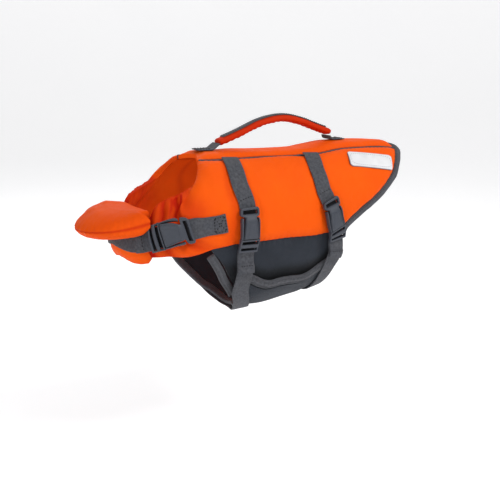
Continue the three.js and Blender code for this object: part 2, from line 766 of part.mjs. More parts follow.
// Buckles. A socket and a clip lie along a strap, measured in mm from where the socket begins. The neck strap's
// is shorter by its size.
const SLOT = { from: 2.2, to: 6.4, half: 9.8 };
const CLIP_SLOTS = [
  { from: 33.4, to: 36.6, half: 9.8 },
  { from: 40.8, to: 43.6, half: 9.8 },
];
const SOCKET_OUTLINE = [
  { s: 0, half: BUCKLE_WIDTH / 2 },
  { s: 7.6, half: BUCKLE_WIDTH / 2 },
  { s: 9.4, half: 5.2 },
  { s: 31, half: 8.8 },
];
// The clip's arms embrace the socket: how far from the middle they begin.
const ARM_INSIDE = [
  { s: 0, half: 8.3 },
  { s: 18, half: 8.3 },
  { s: 21.5, half: 7.7 },
  { s: 31.4, half: 9.3 },
];
const SOCKET_END = 31;
const CLIP_START = 9.6;
const BUCKLE_UNDER = WEBBING + 2 * SEAM; // what lies between the buckle and the panel's top
const crown = (s, side) => 4.4 + 2.4 * smooth(s, 5, 14) * (1 - smooth(s, 28, 38)) * (1 - 0.45 * side * side);

function buckle(name, line, start, size) {
  const low = (s) => line.rest(s) + BUCKLE_UNDER;
  const local = (s) => (s - start) / size;
  const thick = (s, side) => crown(local(s), side);
  const spread = (from, to, columns) => range(columns, (t) => start + size * mix(from, to, t));
  const piece = (from, to, half) => strip(line, spread(from, to, 10), 4, (s) => half(local(s)), low, thick);
  const hole = (from, to, columns, half) =>
    solid(strip(line, spread(from, to, columns), 4, (s) => half(local(s)), (s) => low(s) - 4, () => 16));
  const outline = (table) => (s) => read(table, "s", s, "half");
  const slotIn = ({ from, to, half }) => hole(from, to, 1, () => half);
  const socket = solid(piece(0, SOCKET_END, outline(SOCKET_OUTLINE))).subtract(slotIn(SLOT));
  add(`${name}_socket`, geometryOf(socket), PLASTIC);
  const between = hole(0, SOCKET_END + SEAM, 10, outline(ARM_INSIDE));
  let clip = solid(piece(CLIP_START, BUCKLE_LENGTH, () => BUCKLE_WIDTH / 2)).subtract(between);
  for (const slot of CLIP_SLOTS) clip = clip.subtract(slotIn(slot));
  add(`${name}_clip`, geometryOf(clip), PLASTIC);
}

// Straps: an upper stretch to the socket, a lower one from the clip, and the loose tail out of the clip
function strap(name, line, { socketAt, size, tail, step }) {
  const start = line.where(socketAt);
  const webbing = (from, to, above = 0, thick = () => WEBBING) => {
    const low = (s) => line.rest(s) + above;
    return strip(line, marks(from, to, step), 2, () => WEBBING_WIDTH / 2, low, thick);
  };
  add(`${name}_upper`, webbing(0, start + size * (SLOT.to - 1)), GREY);
  add(`${name}_lower`, webbing(start + size * CLIP_SLOTS[0].from, line.length), GREY);
  const tailStart = start + size * BUCKLE_LENGTH + SEAM;
  const hem = (s) => (s > tailStart + tail - 8 ? 2 * WEBBING : WEBBING);
  add(`${name}_tail`, webbing(tailStart, tailStart + tail, WEBBING + 1.5 * SEAM, hem), GREY);
  buckle(`${name}_buckle`, line, start, size);
}
const girthEnd = (table) => read(PIPING, "u", read(table, "v", 20, "u"), "v") + PIPING_ROOM + 0.6;
const STRAPS = [
  { name: "front_strap", table: FRONT_STRAP, from: girthEnd(FRONT_STRAP), socketAt: 75, size: 1, tail: 21, step: 8 },
  { name: "rear_strap", table: REAR_STRAP, from: girthEnd(REAR_STRAP), socketAt: 76.5, size: 1, tail: 19, step: 8 },
  { name: "neck_strap", table: NECK_STRAP, from: 85, socketAt: 96, size: 0.86, tail: 14, step: 6 },
];
for (const { name, table, from, ...rule } of STRAPS) strap(name, route(table, from, 360 - from), rule);

// Chin float: a cushion that lies across the top edge of the chest panel and stands out from it, thin at its
// nose and full at its two blunt ends. Each section runs from a rear line, past a middle line just in front of
// the panel, to a nose line on an oval.
const FLOAT_SIDE = 41; // degrees from the middle to each end
const FLOAT_REAR = { x: -197, bow: 5, half: 33 };
const FLOAT_MIDDLE = { u: -141, height: CHEST_FOAM + LIFT + WEBBING + 2.2 };
const FLOAT_NOSE = { x: -208, reach: 60.5, half: 52, turn: 90, power: 2.1 };
// Along is 0 at the rear line, 1 at the middle line and 2 at the nose. A row gives the faces at the middle
// section and at the ends.
const FLOAT_PROFILE = [
  { along: 0, top: -51, under: -56.5, endTop: -48, endUnder: -55 },
  { along: 0.14, top: -45.5, under: -57.6, endTop: -43.5, endUnder: -57 },
  { along: 0.95, top: -43.5, under: -57.6, endTop: -42, endUnder: -57.6 },
  { along: 1.12, top: -43.5, under: -68, endTop: -42, endUnder: -60.5 },
  { along: 1.5, top: -46.5, under: -73, endTop: -42, endUnder: -63 },
  { along: 1.8, top: -53, under: -72, endTop: -43.5, endUnder: -65 },
  { along: 2, top: -61.5, under: -66.5, endTop: -48, endUnder: -60.5 },
];
function floatSection(share) {
  const turn = THREE.MathUtils.degToRad(FLOAT_NOSE.turn * share);
  const rounded = (value) => Math.sign(value) * Math.abs(value) ** (2 / FLOAT_NOSE.power);
  const rear = new THREE.Vector3(FLOAT_REAR.x - FLOAT_REAR.bow * share ** 2, -FLOAT_REAR.half * share, 0);
  const middle = stand(FLOAT_MIDDLE.u, 180 + FLOAT_SIDE * share, FLOAT_MIDDLE.height + 5.4 * share ** 2);
  const nose = new THREE.Vector3(
    FLOAT_NOSE.x - FLOAT_NOSE.reach * rounded(Math.cos(turn)),
    -FLOAT_NOSE.half * rounded(Math.sin(turn)),
    0,
  );
  const full = Math.sqrt(1 - Math.abs(share) ** 24);
  const sideways = Math.abs(share) ** 2.2;
  const places = FLOAT_PROFILE.map((row) => {
    const [start, end, part] = row.along < 1 ? [rear, middle, row.along] : [middle, nose, row.along - 1];
    const at = start.clone().lerp(end, part);
    const level = (row.endTop + row.endUnder) / 2;
    const face = (z, endZ) => new THREE.Vector3(at.x, at.y, mix(level, mix(z, endZ, sideways), full));
    return { top: face(row.top, row.endTop), under: face(row.under, row.endUnder) };
  });
  return [...places.map((p) => p.top), ...places.map((p) => p.under).reverse()];
}
add("chin_float", loft(range(20, (t) => floatSection(0.985 * (2 * gather(t) - 1)))), ORANGE);

// Grab handle: webbing sewn along the spine, that leaves it for a padded grip
const point = (x, z) => new THREE.Vector3(x, 0, z);
const onSpine = (u) => stand(u, 0, FOAM + LIFT + WEBBING / 2);
const GRIP_ARCH = [
  { x: -103, z: 18.8 },
  { x: -88, z: 23.6 },
  { x: -73, z: 29 },
  { x: -52, z: 37.2 },
  { x: -34, z: 41.4 },
  { x: -15, z: 42.4 },
  { x: 6, z: 37.8 },
  { x: 21, z: 32.3 },
  { x: 34, z: 27.6 },
  { x: 46.5, z: 23.6 },
];
const arch = new THREE.CatmullRomCurve3(GRIP_ARCH.map(({ x, z }) => point(x, z)));
add("handle_grip", sweep(arch.getSpacedPoints(18), GRIP_WIDTH, GRIP_THICKNESS, 8), ORANGE);
const overGrip = range(16, (t) => {
  const at = mix(0.05, 0.95, t);
  const along = arch.getTangentAt(at);
  return arch.getPointAt(at).addScaledVector(point(-along.z, along.x), GRIP_THICKNESS / 2 + SEAM + 0.25);
});
add("handle_strip", sweep(overGrip, 9, 1, 4), GREY);
const frontRise = [point(-110, 13.6), point(-106.6, 16), point(-103.4, 18.1)];
const frontFoot = [...[-130, -124, -118, -113.5].map(onSpine), ...frontRise];
add("handle_webbing_front", sweep(frontFoot, WEBBING_WIDTH, WEBBING, 4), GREY);
const rearFoot = [point(43.4, 19.9), point(43.7, 17.8), point(45.2, 16), ...[48.6, 53, 58, 63].map(onSpine)];
add("handle_webbing_rear", sweep(rearFoot, WEBBING_WIDTH, WEBBING, 4), GREY);

// Label, a blank patch with round corners on the left side panel
const LABEL_MIDDLE = { u: 73, v: -46 };
add(
  "label",
  wall(
    10,
    4,
    (a, b) => {
      const along = LABEL.length * (gather(a) - 0.5);
      const round = Math.max(0, Math.abs(along) - LABEL.length / 2 + LABEL.corner);
      const half = LABEL.height / 2 - LABEL.corner + Math.sqrt(LABEL.corner ** 2 - round ** 2 + 0.01);
      const side = 2 * b - 1;
      const lower = side * half + LABEL.tilt * along;
      return { u: LABEL_MIDDLE.u + along - 1.5 * side, v: LABEL_MIDDLE.v - lower / 1.12 };
    },
    (u, v) => sideHeight(u, v) + LIFT,
    (u, v) => sideHeight(u, v) + LIFT + LABEL.thickness,
  ),
  WHITE,
);

export default jacket;
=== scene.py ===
"""A dog life jacket, filled out as it is worn with no wearer in it.

Millimetres in all shapes, and metres only in the finished meshes. +X runs towards the tail, +Y to the
wearer's right, +Z up. Every piece lies on one smooth figure, the hollow that a wearer fills. A place on it is
(u, v): u is the station along the back in mm and v the angle round the ring in degrees, 0 at the spine, 180
at the bottom and negative on the wearer's left. A height is how far a point stands out from the figure.
"""
import math

import bpy
import numpy as np
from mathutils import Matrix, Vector


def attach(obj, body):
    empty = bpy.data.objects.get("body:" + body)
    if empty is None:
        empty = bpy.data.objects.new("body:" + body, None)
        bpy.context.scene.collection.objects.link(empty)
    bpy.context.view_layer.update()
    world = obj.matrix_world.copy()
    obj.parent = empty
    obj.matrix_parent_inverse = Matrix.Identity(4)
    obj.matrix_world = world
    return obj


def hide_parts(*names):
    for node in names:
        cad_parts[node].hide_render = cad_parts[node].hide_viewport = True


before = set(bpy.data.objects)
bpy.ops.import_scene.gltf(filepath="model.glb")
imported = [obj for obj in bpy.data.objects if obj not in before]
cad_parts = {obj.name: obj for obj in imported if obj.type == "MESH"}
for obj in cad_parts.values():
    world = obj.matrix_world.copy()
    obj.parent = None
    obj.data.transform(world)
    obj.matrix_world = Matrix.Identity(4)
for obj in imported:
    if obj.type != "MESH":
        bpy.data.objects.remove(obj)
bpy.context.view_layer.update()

# Driving dimensions, as in the solids
FOAM = 8.5
FOAM_EDGE = 4.4
FOAM_ROLL = 11
WING = 6
CHEST_FOAM = 7.5
NEOPRENE = 3
WEBBING = 1.4
WEBBING_WIDTH = 19
SEAM = 0.35
LIFT = 0.6
PIPING_RADIUS = 1.3
BINDING_WIDTH = 7.4
BINDING_HEIGHT = 6.2
EDGE_BINDING_WIDTH = 5.4
EDGE_BINDING_HEIGHT = 4.6
HEM_BINDING_WIDTH = 10.5
BUCKLE_LENGTH = 46
GRIP_WIDTH = 16
GRIP_THICKNESS = 8
GRIP_LENGTH = 158
CHEST_SIDE = 138
FLAP_FOOT = 152


def columns(names, *rows):
    """A table with named columns, as one array for each name."""
    return dict(zip(names.split(), np.array(rows, float).T))


RINGS = columns(
    "u topZ bowX bowZ footX footZ half widest power",
    (-160, 3.0, -146, -34, -214, -26, 40, 0.5, 2.5),
    (-146, 3.0, -153, -51, -217, -51, 47, 0.5, 2.5),
    (-135, 3.0, -166, -69, -222, -77, 57, 0.46, 2.5),
    (-127, 2.8, -162, -81, -216, -103, 61, 0.44, 2.5),
    (-119, 2.6, -138, -83, -170, -147, 63, 0.43, 2.5),
    (-110, 2.4, -110, -82, -110, -164, 64, 0.43, 2.5),
    (-75, 1.6, -75, -82, -75, -164, 64, 0.43, 2.5),
    (-20, -0.4, -20, -80, -20, -158, 63, 0.43, 2.5),
    (0, 0.0, 0, -77, 0, -153, 62, 0.43, 2.5),
    (15, 1.6, 15, -75, 15, -149, 61, 0.44, 2.5),
    (50, 5.6, 50, -70, 50, -140, 58, 0.45, 2.4),
    (95, 4.2, 95, -63, 95, -127, 53, 0.47, 2.3),
    (145, -1.0, 145, -57, 145, -113, 46, 0.5, 2.2),
)
# Seams and edges, alike on both sides, with v taken from the spine
PIPING = columns(
    "u v",
    (-146, 21), (-110, 20.3), (-74, 19), (-35, 17.3), (-8, 18.2), (14, 21), (50, 22), (111, 20.5),
    (145, 20.5),
)
LOWER_SEAM = columns("u v", (-146, 99), (-112, 97.9), (-60, 97.3), (-10, 99.9), (40, 103.4))
NECK_EDGE = columns(
    "v u",
    (0, -131), (20, -138.5), (50, -143.5), (68, -148), (84, -155), (100, -156.5), (115, -155.5), (126, -153),
    (132, -149), (136, -144), (140, -141.3), (180, -141.3),
)
REAR_EDGE = columns(
    "v u",
    (0, 131), (14, 129), (22, 127), (34, 120.5), (47, 112.5), (59, 104.5), (68, 94), (75, 84), (81, 73),
    (85, 63), (89, 50), (93, 37), (98, 26), (103, 22),
)
CHEST_EDGE = columns(
    "v u", (98, -112), (102.2, -118.6), (108.3, -121.5), (115.4, -123.8), (125, -126.6), (138, -128.2)
)
CHEST_FOOT = columns(
    "v u", (138, -128), (143, -126.8), (152, -127), (162, -127.6), (172, -128.6), (180, -129)
)
# The front edges of the flap and of the belly panel, inside their bands. The belly panel's is read from the
# right lower seam under the belly to the left, where it ends under the front strap.
FLAP_FRONT = columns(
    "v u",
    (98, -119.9), (104.5, -118.1), (110.6, -116), (117.8, -114.1), (123.9, -112.8), (129.6, -111.1),
    (137.5, -107.2), (144.2, -103.4), (152, -99.5),
)
BELLY_FRONT = columns(
    "v u",
    *zip(FLAP_FRONT["v"][:8], FLAP_FRONT["u"][:8]),
    (152, -95.5), (167, -87), (180, -85), (193, -87), (206, -94), (215, -98.5), (228, -102.5), (243, -103.5),
)
WAIST = columns("v u", (98, 21), (123, 20.5), (134, 17), (150, 15), (180, 14))
BELLY_TOP = columns(
    "u v",
    (-118, 117), (-101, 119.2), (-82, 123.4), (-67, 125.4), (-56, 124.6), (-46, 125), (-24, 127.2),
    (-8, 126.4), (8, 122), (30, 118),
)
# Middle lines of the straps, from the spine down
FRONT_STRAP = columns(
    "v u",
    (0, -104), (21, -105.2), (40, -107.5), (53, -108.5), (75, -104.8), (88, -105.2), (114, -106.3),
    (130, -106.5), (150, -99), (167, -90), (180, -87),
)
REAR_STRAP = columns(
    "v u",
    (0, 3), (20, 1.5), (47, -4.9), (66, -4.3), (77, 0.4), (91, 6), (104, 12.5), (112, 14), (124, 11.5),
    (140, 8.5), (180, 5),
)
NECK_STRAP = columns(
    "v u",
    (83, -113.5), (85.2, -117.7), (89.6, -124.5), (94.4, -128.5), (102.7, -131.5), (112, -133.4),
    (125, -134.4), (150, -134.7), (165, -135.8), (180, -136.8),
)
# The wing gathers where the neck strap draws it in. A row is the middle of a fold.
FOLDS = columns(
    "v depth width",
    (94, 1.2, 5), (103, -2.0, 4.4), (112, 1.3, 4.4), (120.5, -1.4, 4), (128, 0.9, 4), (135, -1.2, 3.6),
)


def mix(a, b, t):
    return a + (b - a) * t


def smooth(x, low, high):
    """0 below low and 1 above high, with a cubic between them."""
    t = np.clip((x - low) / (high - low), 0, 1)
    return t * t * (3 - 2 * t)


def gather(t):
    """Runs from 0 to 1 with its steps closer together near both ends."""
    return mix(t, 0.5 - 0.5 * np.cos(np.pi * t), 0.6)


def read(table, key, at, column):
    """A table at places between its rows: a cubic that keeps each row and never overshoots."""
    x, y = table[key], table[column]
    at = np.clip(at, x[0], x[-1])
    k = np.clip(np.searchsorted(x, at) - 1, 0, len(x) - 2)
    span = np.diff(x)
    rise = np.diff(y) / span
    before, after = rise[:-1], rise[1:]
    near, far = 2 * span[1:] + span[:-1], span[1:] + 2 * span[:-1]
    turning = before * after <= 0
    safe = [np.where(turning, 1, r) for r in (before, after)]
    inner = np.where(turning, 0, (near + far) / (near / safe[0] + far / safe[1]))
    slope = np.concatenate([rise[:1], inner, rise[-1:]])
    t = (at - x[k]) / span[k]
    t2, t3 = t * t, t * t * t
    return (
        (2 * t3 - 3 * t2 + 1) * y[k]
        + (t3 - 2 * t2 + t) * span[k] * slope[k]
        + (3 * t2 - 2 * t3) * y[k + 1]
        + (t3 - t2) * span[k] * slope[k + 1]
    )


def side_angle(v):
    """An angle past the bottom, such as 200, is 160 on the other side."""
    return np.abs((v + 900) % 360 - 180)


def turn_angle(v):
    return (v + 720) % 360


def unit(a):
    return a / np.maximum(np.linalg.norm(a, axis=-1, keepdims=True), 1e-12)


def dot(a, b):
    return np.sum(a * b, -1)


def hill(x, width):
    """1 at zero, and falling away on both sides like a bell."""
    return np.exp(-((x / width) ** 2))


def travelled(points):
    """The length along a line of points, at each of them."""
    return np.concatenate([[0], np.cumsum(np.linalg.norm(np.diff(points, axis=0), axis=1))])


def figure(u, v):
    """Each ring hangs on a curve from the spine past a bow point to the foot. Down that curve and across it,
    the ring is an oval with square shoulders above its widest place and a plain oval below it."""
    u, v = np.broadcast_arrays(np.asarray(u, float), np.asarray(v, float))
    ring = {name: read(RINGS, "u", u, name) for name in RINGS if name != "u"}
    c, s = np.cos(np.radians(v)), np.sin(np.radians(v))
    power = np.where(c >= 0, ring["power"], 2)
    arc = np.abs(c) ** (2 / power)
    widest = ring["widest"]
    down = np.where(c >= 0, widest * (1 - arc), widest + (1 - widest) * arc)
    y = np.sign(s) * ring["half"] * np.abs(s) ** (2 / power)
    a, b, d = (1 - down) ** 2, 2 * down * (1 - down), down**2
    x = a * np.clip(u, RINGS["u"][0], RINGS["u"][-1]) + b * ring["bowX"] + d * ring["footX"]
    return np.stack([x, y, a * ring["topZ"] + b * ring["bowZ"] + d * ring["footZ"]], -1)


def slopes(u, v):
    """How a point moves for each mm of station and each degree, and which way is out."""
    before, after = np.maximum(u - 1, RINGS["u"][0]), np.minimum(u + 1, RINGS["u"][-1])
    along_u = (figure(after, v) - figure(before, v)) / (after - before)[..., None]
    along_v = (figure(u, v + 1) - figure(u, v - 1)) / 2
    return along_u, along_v, unit(np.cross(along_u, along_v))


def stand(u, v, height):
    u, v, height = np.broadcast_arrays(np.asarray(u, float), np.asarray(v, float), height)
    return figure(u, v) + slopes(u, v)[2] * height[..., None]


def step_on(u, v, direction, length, steps=4):
    """The places reached by so many mm along the figure in a direction in space, in a few short steps."""
    u, v, length = np.broadcast_arrays(np.asarray(u, float), np.asarray(v, float), length)
    for _ in range(steps):
        along_u, along_v, _ = slopes(u, v)
        uu, uv, vv = dot(along_u, along_u), dot(along_u, along_v), dot(along_v, along_v)
        du, dv = dot(direction, along_u), dot(direction, along_v)
        share = length / steps / (uu * vv - uv * uv)
        u, v = u + share * (du * vv - dv * uv), v + share * (dv * uu - du * uv)
    return u, v


def uneven(x, y, seed, size):
    """A smooth unevenness between about -1 and 1: a sum of sine waves in seeded directions, size mm long."""
    rng = np.random.default_rng(seed)
    total = 0
    for _ in range(6):
        turn, start = rng.uniform(0, 2 * np.pi, 2)
        wave = 2 * np.pi / (size * rng.uniform(0.7, 1.6))
        total = total + np.sin(wave * (x * math.cos(turn) + y * math.sin(turn)) + start)
    return total / 3


# Heights of the outer faces of the panels
PIPING_ROOM = (PIPING_RADIUS + SEAM) / 0.95
SEAM_ROOM = SEAM / 1.2
HEM_ROOM = (HEM_BINDING_WIDTH + 3.4 * SEAM) / 1.25
OVER_FLAP = NEOPRENE + 1.9


def roll(inset):
    """How far foam has risen, from 0 to 1, so many mm in from a seam: a quarter of a sine wave."""
    return np.sin(np.pi / 2 * np.clip(inset / FOAM_ROLL, 0, 1))


def strap_press(u, v):
    a = side_angle(v)
    return 2.2 * sum(hill(u - read(line, "v", a, "u"), 12) for line in (FRONT_STRAP, REAR_STRAP))


def fold_wave(a, sharp=2):
    middle = np.asarray(a)[..., None] - FOLDS["v"]
    return np.sum(FOLDS["depth"] * np.exp(-(np.abs(middle / FOLDS["width"]) ** sharp)), -1)


def scales(u, v):
    """How many mm there are to one of u and to one degree of v."""
    return [np.linalg.norm(along, axis=-1) for along in slopes(u, v)[:2]]


def side_insets(u, v):
    """How many mm a place on a side panel is in from the piping, foot, neck, rear and chest seam."""
    a = side_angle(v)
    mm_u, mm_v = scales(u, v)
    foot = np.maximum((read(LOWER_SEAM, "u", u, "v") - a) * mm_v, (read(CHEST_EDGE, "v", a, "u") - u) * mm_u)
    return (
        (a - read(PIPING, "u", u, "v")) * mm_v,
        foot,
        (u - read(NECK_EDGE, "v", a, "u")) * mm_u,
        (read(REAR_EDGE, "v", a, "u") - u) * mm_u,
        (CHEST_SIDE - a) * mm_v,
    )


def side_height(u, v):
    a = side_angle(v)
    rise = np.prod([roll(inset) for inset in side_insets(u, v)], axis=0)
    wing = smooth(a, 84, 106) * (1 - smooth(u, -118, -104))
    folds = fold_wave(a) * (1 - smooth(u, -124, -114))
    return mix(FOAM_EDGE, mix(FOAM, WING, wing), rise) - strap_press(u, v) * rise + folds * (0.4 + 0.6 * rise)


def back_insets(u, v):
    a = side_angle(v)
    piping = (read(PIPING, "u", u, "v") - a) * scales(u, v)[1]
    return piping, u - read(NECK_EDGE, "v", a, "u"), read(REAR_EDGE, "v", a, "u") - u


def back_height(u, v):
    return mix(FOAM_EDGE, FOAM, np.prod([roll(inset) for inset in back_insets(u, v)], axis=0))


def chest_insets(u, v):
    a = side_angle(v)
    mm_u, mm_v = scales(u, v)
    return (
        (u - read(NECK_EDGE, "v", a, "u")) * mm_u,
        (read(CHEST_FOOT, "v", a, "u") - u) * mm_u,
        (a - CHEST_SIDE) * mm_v,
    )


def chest_height(u, v):
    return mix(FOAM_EDGE, CHEST_FOAM, np.prod([roll(inset) for inset in chest_insets(u, v)], axis=0))


def belly_low(u, v):
    """The belly panel climbs onto the flap on the left, and stands off it between the straps."""
    turn = turn_angle(v)
    over = smooth(turn, 360 - FLAP_FOOT - 16, 360 - FLAP_FOOT - 3) * OVER_FLAP
    between = smooth(u, -98, -70) * (1 - smooth(u, -28, 0))
    return over + 3.4 * between * smooth(turn, 360 - FLAP_FOOT, 360 - 130)


def outermost(u, v):
    """The outer height of whatever lies outermost at a place."""
    a, turn = side_angle(v), turn_angle(v)
    hem = 360 - read(BELLY_TOP, "u", u, "v")
    on_belly = turn < hem + 2
    front = np.where(on_belly, read(BELLY_FRONT, "v", turn, "u"), read(FLAP_FRONT, "v", a, "u"))
    on_edge = (u < front) | (u > read(WAIST, "v", a, "u"))
    cloth = np.where(on_edge | (on_belly & (turn > hem - HEM_ROOM - 1)), EDGE_BINDING_HEIGHT - 0.7, NEOPRENE)
    side = side_height(u, v)
    above_seam = a < read(LOWER_SEAM, "u", u, "v") + 0.4
    return np.select(
        [(a > CHEST_SIDE) & (u < -120), (u < -114) & (a > 97), above_seam, on_belly],
        [chest_height(u, v), side, side, belly_low(u, v) + cloth],
        cloth,
    )


class Strap:
    """A strap's line on the figure. Lengths are mm from its start."""

    def __init__(self, table, start, end, first, step=2):
        v = -np.linspace(start, end, round(abs(end - start)) + 1)
        u = read(table, "v", side_angle(v), "u")
        points = stand(u, v, 0)
        self.u, self.v = u, v
        self.lengths = travelled(points)
        self.length = self.lengths[-1]
        self.socket = np.interp(first, -v, self.lengths)
        marks = np.linspace(0, self.length, math.ceil(self.length / step) + 1)
        here, across = self.at(marks), np.linspace(-0.5, 0.5, 5) * WEBBING_WIDTH
        under = step_on(here[0][:, None], here[1][:, None], here[2][:, None], across)
        highest = np.max(outermost(*under), axis=1)
        index = np.arange(len(marks))
        around = [(np.maximum(0, k - 3), np.minimum(len(marks), k + 4)) for k in index]
        spread = np.array([highest[a:b].max() for a, b in around])
        self.marks, self.heights = marks, np.array([spread[a:b].mean() for a, b in around])

    def place(self, s):
        return np.interp(s, self.lengths, self.u), np.interp(s, self.lengths, self.v)

    def at(self, s):
        """Where the line is at a length, and which way is across it."""
        u, v = self.place(s)
        along = unit(stand(*self.place(s + 2), 0) - stand(*self.place(s - 2), 0))
        return u, v, unit(np.cross(slopes(u, v)[2], along))

    def rest(self, s):
        return np.interp(s, self.marks, self.heights) + LIFT

    def point(self, s, side, height):
        """A point s mm along the strap, side mm across it and height mm above where it rests."""
        s, side, height = np.broadcast_arrays(np.asarray(s, float), side, height)
        u, v, across = self.at(s)
        return stand(*step_on(u, v, across, side), self.rest(s) + height)


# Making meshes
def rounded(count, square_x, square_y):
    """An oval of count points in a box from -1 to 1, squarer where the powers are smaller."""
    turn = 2 * np.pi * (np.arange(count) + 0.5) / count
    c, s = np.cos(turn), np.sin(turn)
    return np.sign(c) * np.abs(c) ** square_x, np.sign(s) * np.abs(s) ** square_y


class Shell:
    """Closed surfaces in one mesh. A surface is rings of points: an array of rings by points by 3."""

    def __init__(self):
        self.points, self.quads, self.tris, self.cloth, self.count = [], [], [], [], 0

    def add(self, rings, closed=False, caps="pole", shade=0.0):
        """Joins rings into a surface. Caps are poles, lie across from one side of the ring to the other, or
        are left out where the last ring meets the first."""
        n, m = rings.shape[:2]
        total = n if closed else n - 1
        j, i = np.meshgrid(np.arange(total), np.arange(m), indexing="ij")
        here, there, after = j * m, (j + 1) % n * m, (i + 1) % m
        quads = [np.stack([here + i, here + after, there + after, there + i], -1).reshape(-1, 4)]
        tris = []
        points = rings.reshape(-1, 3)
        run, turn = (np.cumsum(np.linalg.norm(np.diff(rings, axis=k), axis=2), k) for k in (0, 1))
        along = np.concatenate([np.zeros((1, m)), run])
        around = np.concatenate([np.zeros((n, 1)), turn], axis=1)
        # The cloth attribute holds the lengths along and around in mm, then the shade value that the finishes
        # paint in as darker colour.
        cloth = np.stack([along, around, np.broadcast_to(shade, (n, m))], -1).reshape(-1, 3)
        if not closed and caps == "across":
            k = np.arange(m // 2 - 1)
            cap = np.stack([k, k + 1, m - 2 - k, m - 1 - k], -1)
            quads += [cap[:, ::-1], cap + (n - 1) * m]
        elif not closed:
            ends = np.stack([rings[0].mean(0), rings[-1].mean(0)])
            k, after = np.arange(m), (np.arange(m) + 1) % m
            tris = [
                np.stack([np.full(m, n * m), after, k], -1),
                np.stack([np.full(m, n * m + 1), (n - 1) * m + k, (n - 1) * m + after], -1),
            ]
            points = np.concatenate([points, ends])
            cloth = np.concatenate([cloth, cloth[[0, -1]]])
        quads = np.concatenate(quads)
        tris = np.concatenate(tris) if tris else np.zeros((0, 3), int)
        corners = np.concatenate([tris, quads[:, [0, 1, 2]], quads[:, [0, 2, 3]]])
        a, b, c = (points[corners[:, k]] - points.mean(0) for k in range(3))
        if np.sum(a * np.cross(b, c)) < 0:
            quads, tris = quads[:, ::-1], tris[:, ::-1]
        self.points.append(points)
        self.cloth.append(cloth)
        self.quads.append(quads + self.count)
        self.tris.append(tris + self.count)
        self.count += len(points)
        return self

    def make(self, name, finish, nodes=(), slot=None, crisp=40):
        """The mesh object, in metres, riding on the body and standing for its solids."""
        points, cloth = np.concatenate(self.points) * 0.001, np.concatenate(self.cloth)
        quads, tris = np.concatenate(self.quads), np.concatenate(self.tris)
        mesh = bpy.data.meshes.new(name)
        mesh.vertices.add(len(points))
        mesh.vertices.foreach_set("co", points.astype(np.float32).ravel())
        corners = np.concatenate([quads.ravel(), tris.ravel()])
        sizes = np.concatenate([np.full(len(quads), 4), np.full(len(tris), 3)])
        mesh.loops.add(len(corners))
        mesh.loops.foreach_set("vertex_index", corners.astype(np.int32))
        mesh.polygons.add(len(sizes))
        mesh.polygons.foreach_set("loop_start", (np.cumsum(sizes) - sizes).astype(np.int32))
        mesh.update(calc_edges=True)
        mesh.validate()
        mesh.polygons.foreach_set("use_smooth", np.ones(len(mesh.polygons), bool))
        mesh.set_sharp_from_angle(angle=math.radians(crisp))
        layer = mesh.attributes.new("cloth", "FLOAT_VECTOR", "POINT")
        layer.data.foreach_set("vector", cloth.astype(np.float32).ravel())
        mesh.materials.append(finish)
        piece = bpy.data.objects.new(name, mesh)
        bpy.context.scene.collection.objects.link(piece)
        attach(piece, "root")
        if nodes:
            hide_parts(*nodes)
        return piece


def wall(u, v, low, high, shade=0.0):
    """A wall of cloth over a grid of places, with an inner and an outer height at each, and a shade value for
    the finishes to paint in, carried to both faces.
    """
    outer, inner = stand(u, v, high), stand(u, v, low)
    rings = np.concatenate([outer, inner[:, ::-1]], axis=1)
    dark = np.broadcast_to(shade, u.shape)
    return rings, np.concatenate([dark, dark[:, ::-1]], axis=1)


def bead(u, v, aside, height, width, thickness, profile):
    """A bead along a line of places, moved aside from it, with an oval section."""
    points = stand(u, v, 0)
    along = unit(np.gradient(points, axis=0))
    across = unit(np.cross(slopes(u, v)[2], along))
    at_u, at_v = step_on(u, v, across, aside)
    out = slopes(at_u, at_v)[2]
    centre = stand(at_u, at_v, height)
    px, py = profile
    width, thickness = (np.broadcast_to(size, (len(u), 1)) for size in (width, thickness))
    return (
        centre[:, None]
        + across[:, None] * (width / 2 * px)[..., None]
        + out[:, None] * (thickness / 2 * py)[..., None]
    )


def ribbon(strap, start, end, width, low, thick, count=None):
    """Webbing from one length of a strap to another, with rounded edges."""
    s = np.linspace(start, end, count or max(6, int(abs(end - start) / 1.5)))
    px, py = rounded(28, 0.22, 0.55)
    thickness = thick(s)[:, None] if callable(thick) else thick
    return strap.point(s[:, None], width / 2 * px, low + thickness * (1 + py) / 2)


def stitches(points, out, pitch=3.0, length=2.1, radius=0.28):
    """Threads along a line of points: short beads that dip into the cloth at both ends."""
    step = travelled(points)
    count = max(1, int(step[-1] / pitch))
    middle = (np.arange(count) + 0.5) * step[-1] / count
    share = np.linspace(-0.5, 0.5, 5)
    at = middle[:, None] + share * length
    place = np.stack([np.interp(at, step, points[:, k]) for k in range(3)], -1)
    up = unit(np.stack([np.interp(middle, step, out[:, k]) for k in range(3)], -1))[:, None]
    along = unit(place[:, -1:] - place[:, :1])
    across = np.cross(along, up)
    px, py = rounded(6, 1, 1)
    swell = radius * np.array([0.35, 0.85, 1, 0.85, 0.35])[:, None]
    sunk = np.array([-1.0, 0.1, 0.5, 0.1, -1.0])[:, None] * radius
    return (
        place[:, :, None]
        + across[:, :, None] * (swell * px)[..., None]
        + up[:, :, None] * (swell * py + sunk)[..., None]
    )


def sew(lines, name, finish, slot, radius=0.28):
    """One mesh of all the stitches along some lines, each a pair of points and outward directions."""
    shell = Shell()
    for points, out in lines:
        for thread in stitches(points, out, radius=radius):
            shell.add(thread)
    return shell.make(name, finish, slot=slot)


# Finishes
class Wire:
    """An output of a shader node, used in formulas like a number."""

    def __init__(self, cloth, socket):
        self.cloth, self.socket = cloth, socket

    def __add__(self, other):
        return self.cloth.maths("ADD", self, other)

    def __mul__(self, other):
        return self.cloth.maths("MULTIPLY", self, other)

    __radd__, __rmul__ = __add__, __mul__


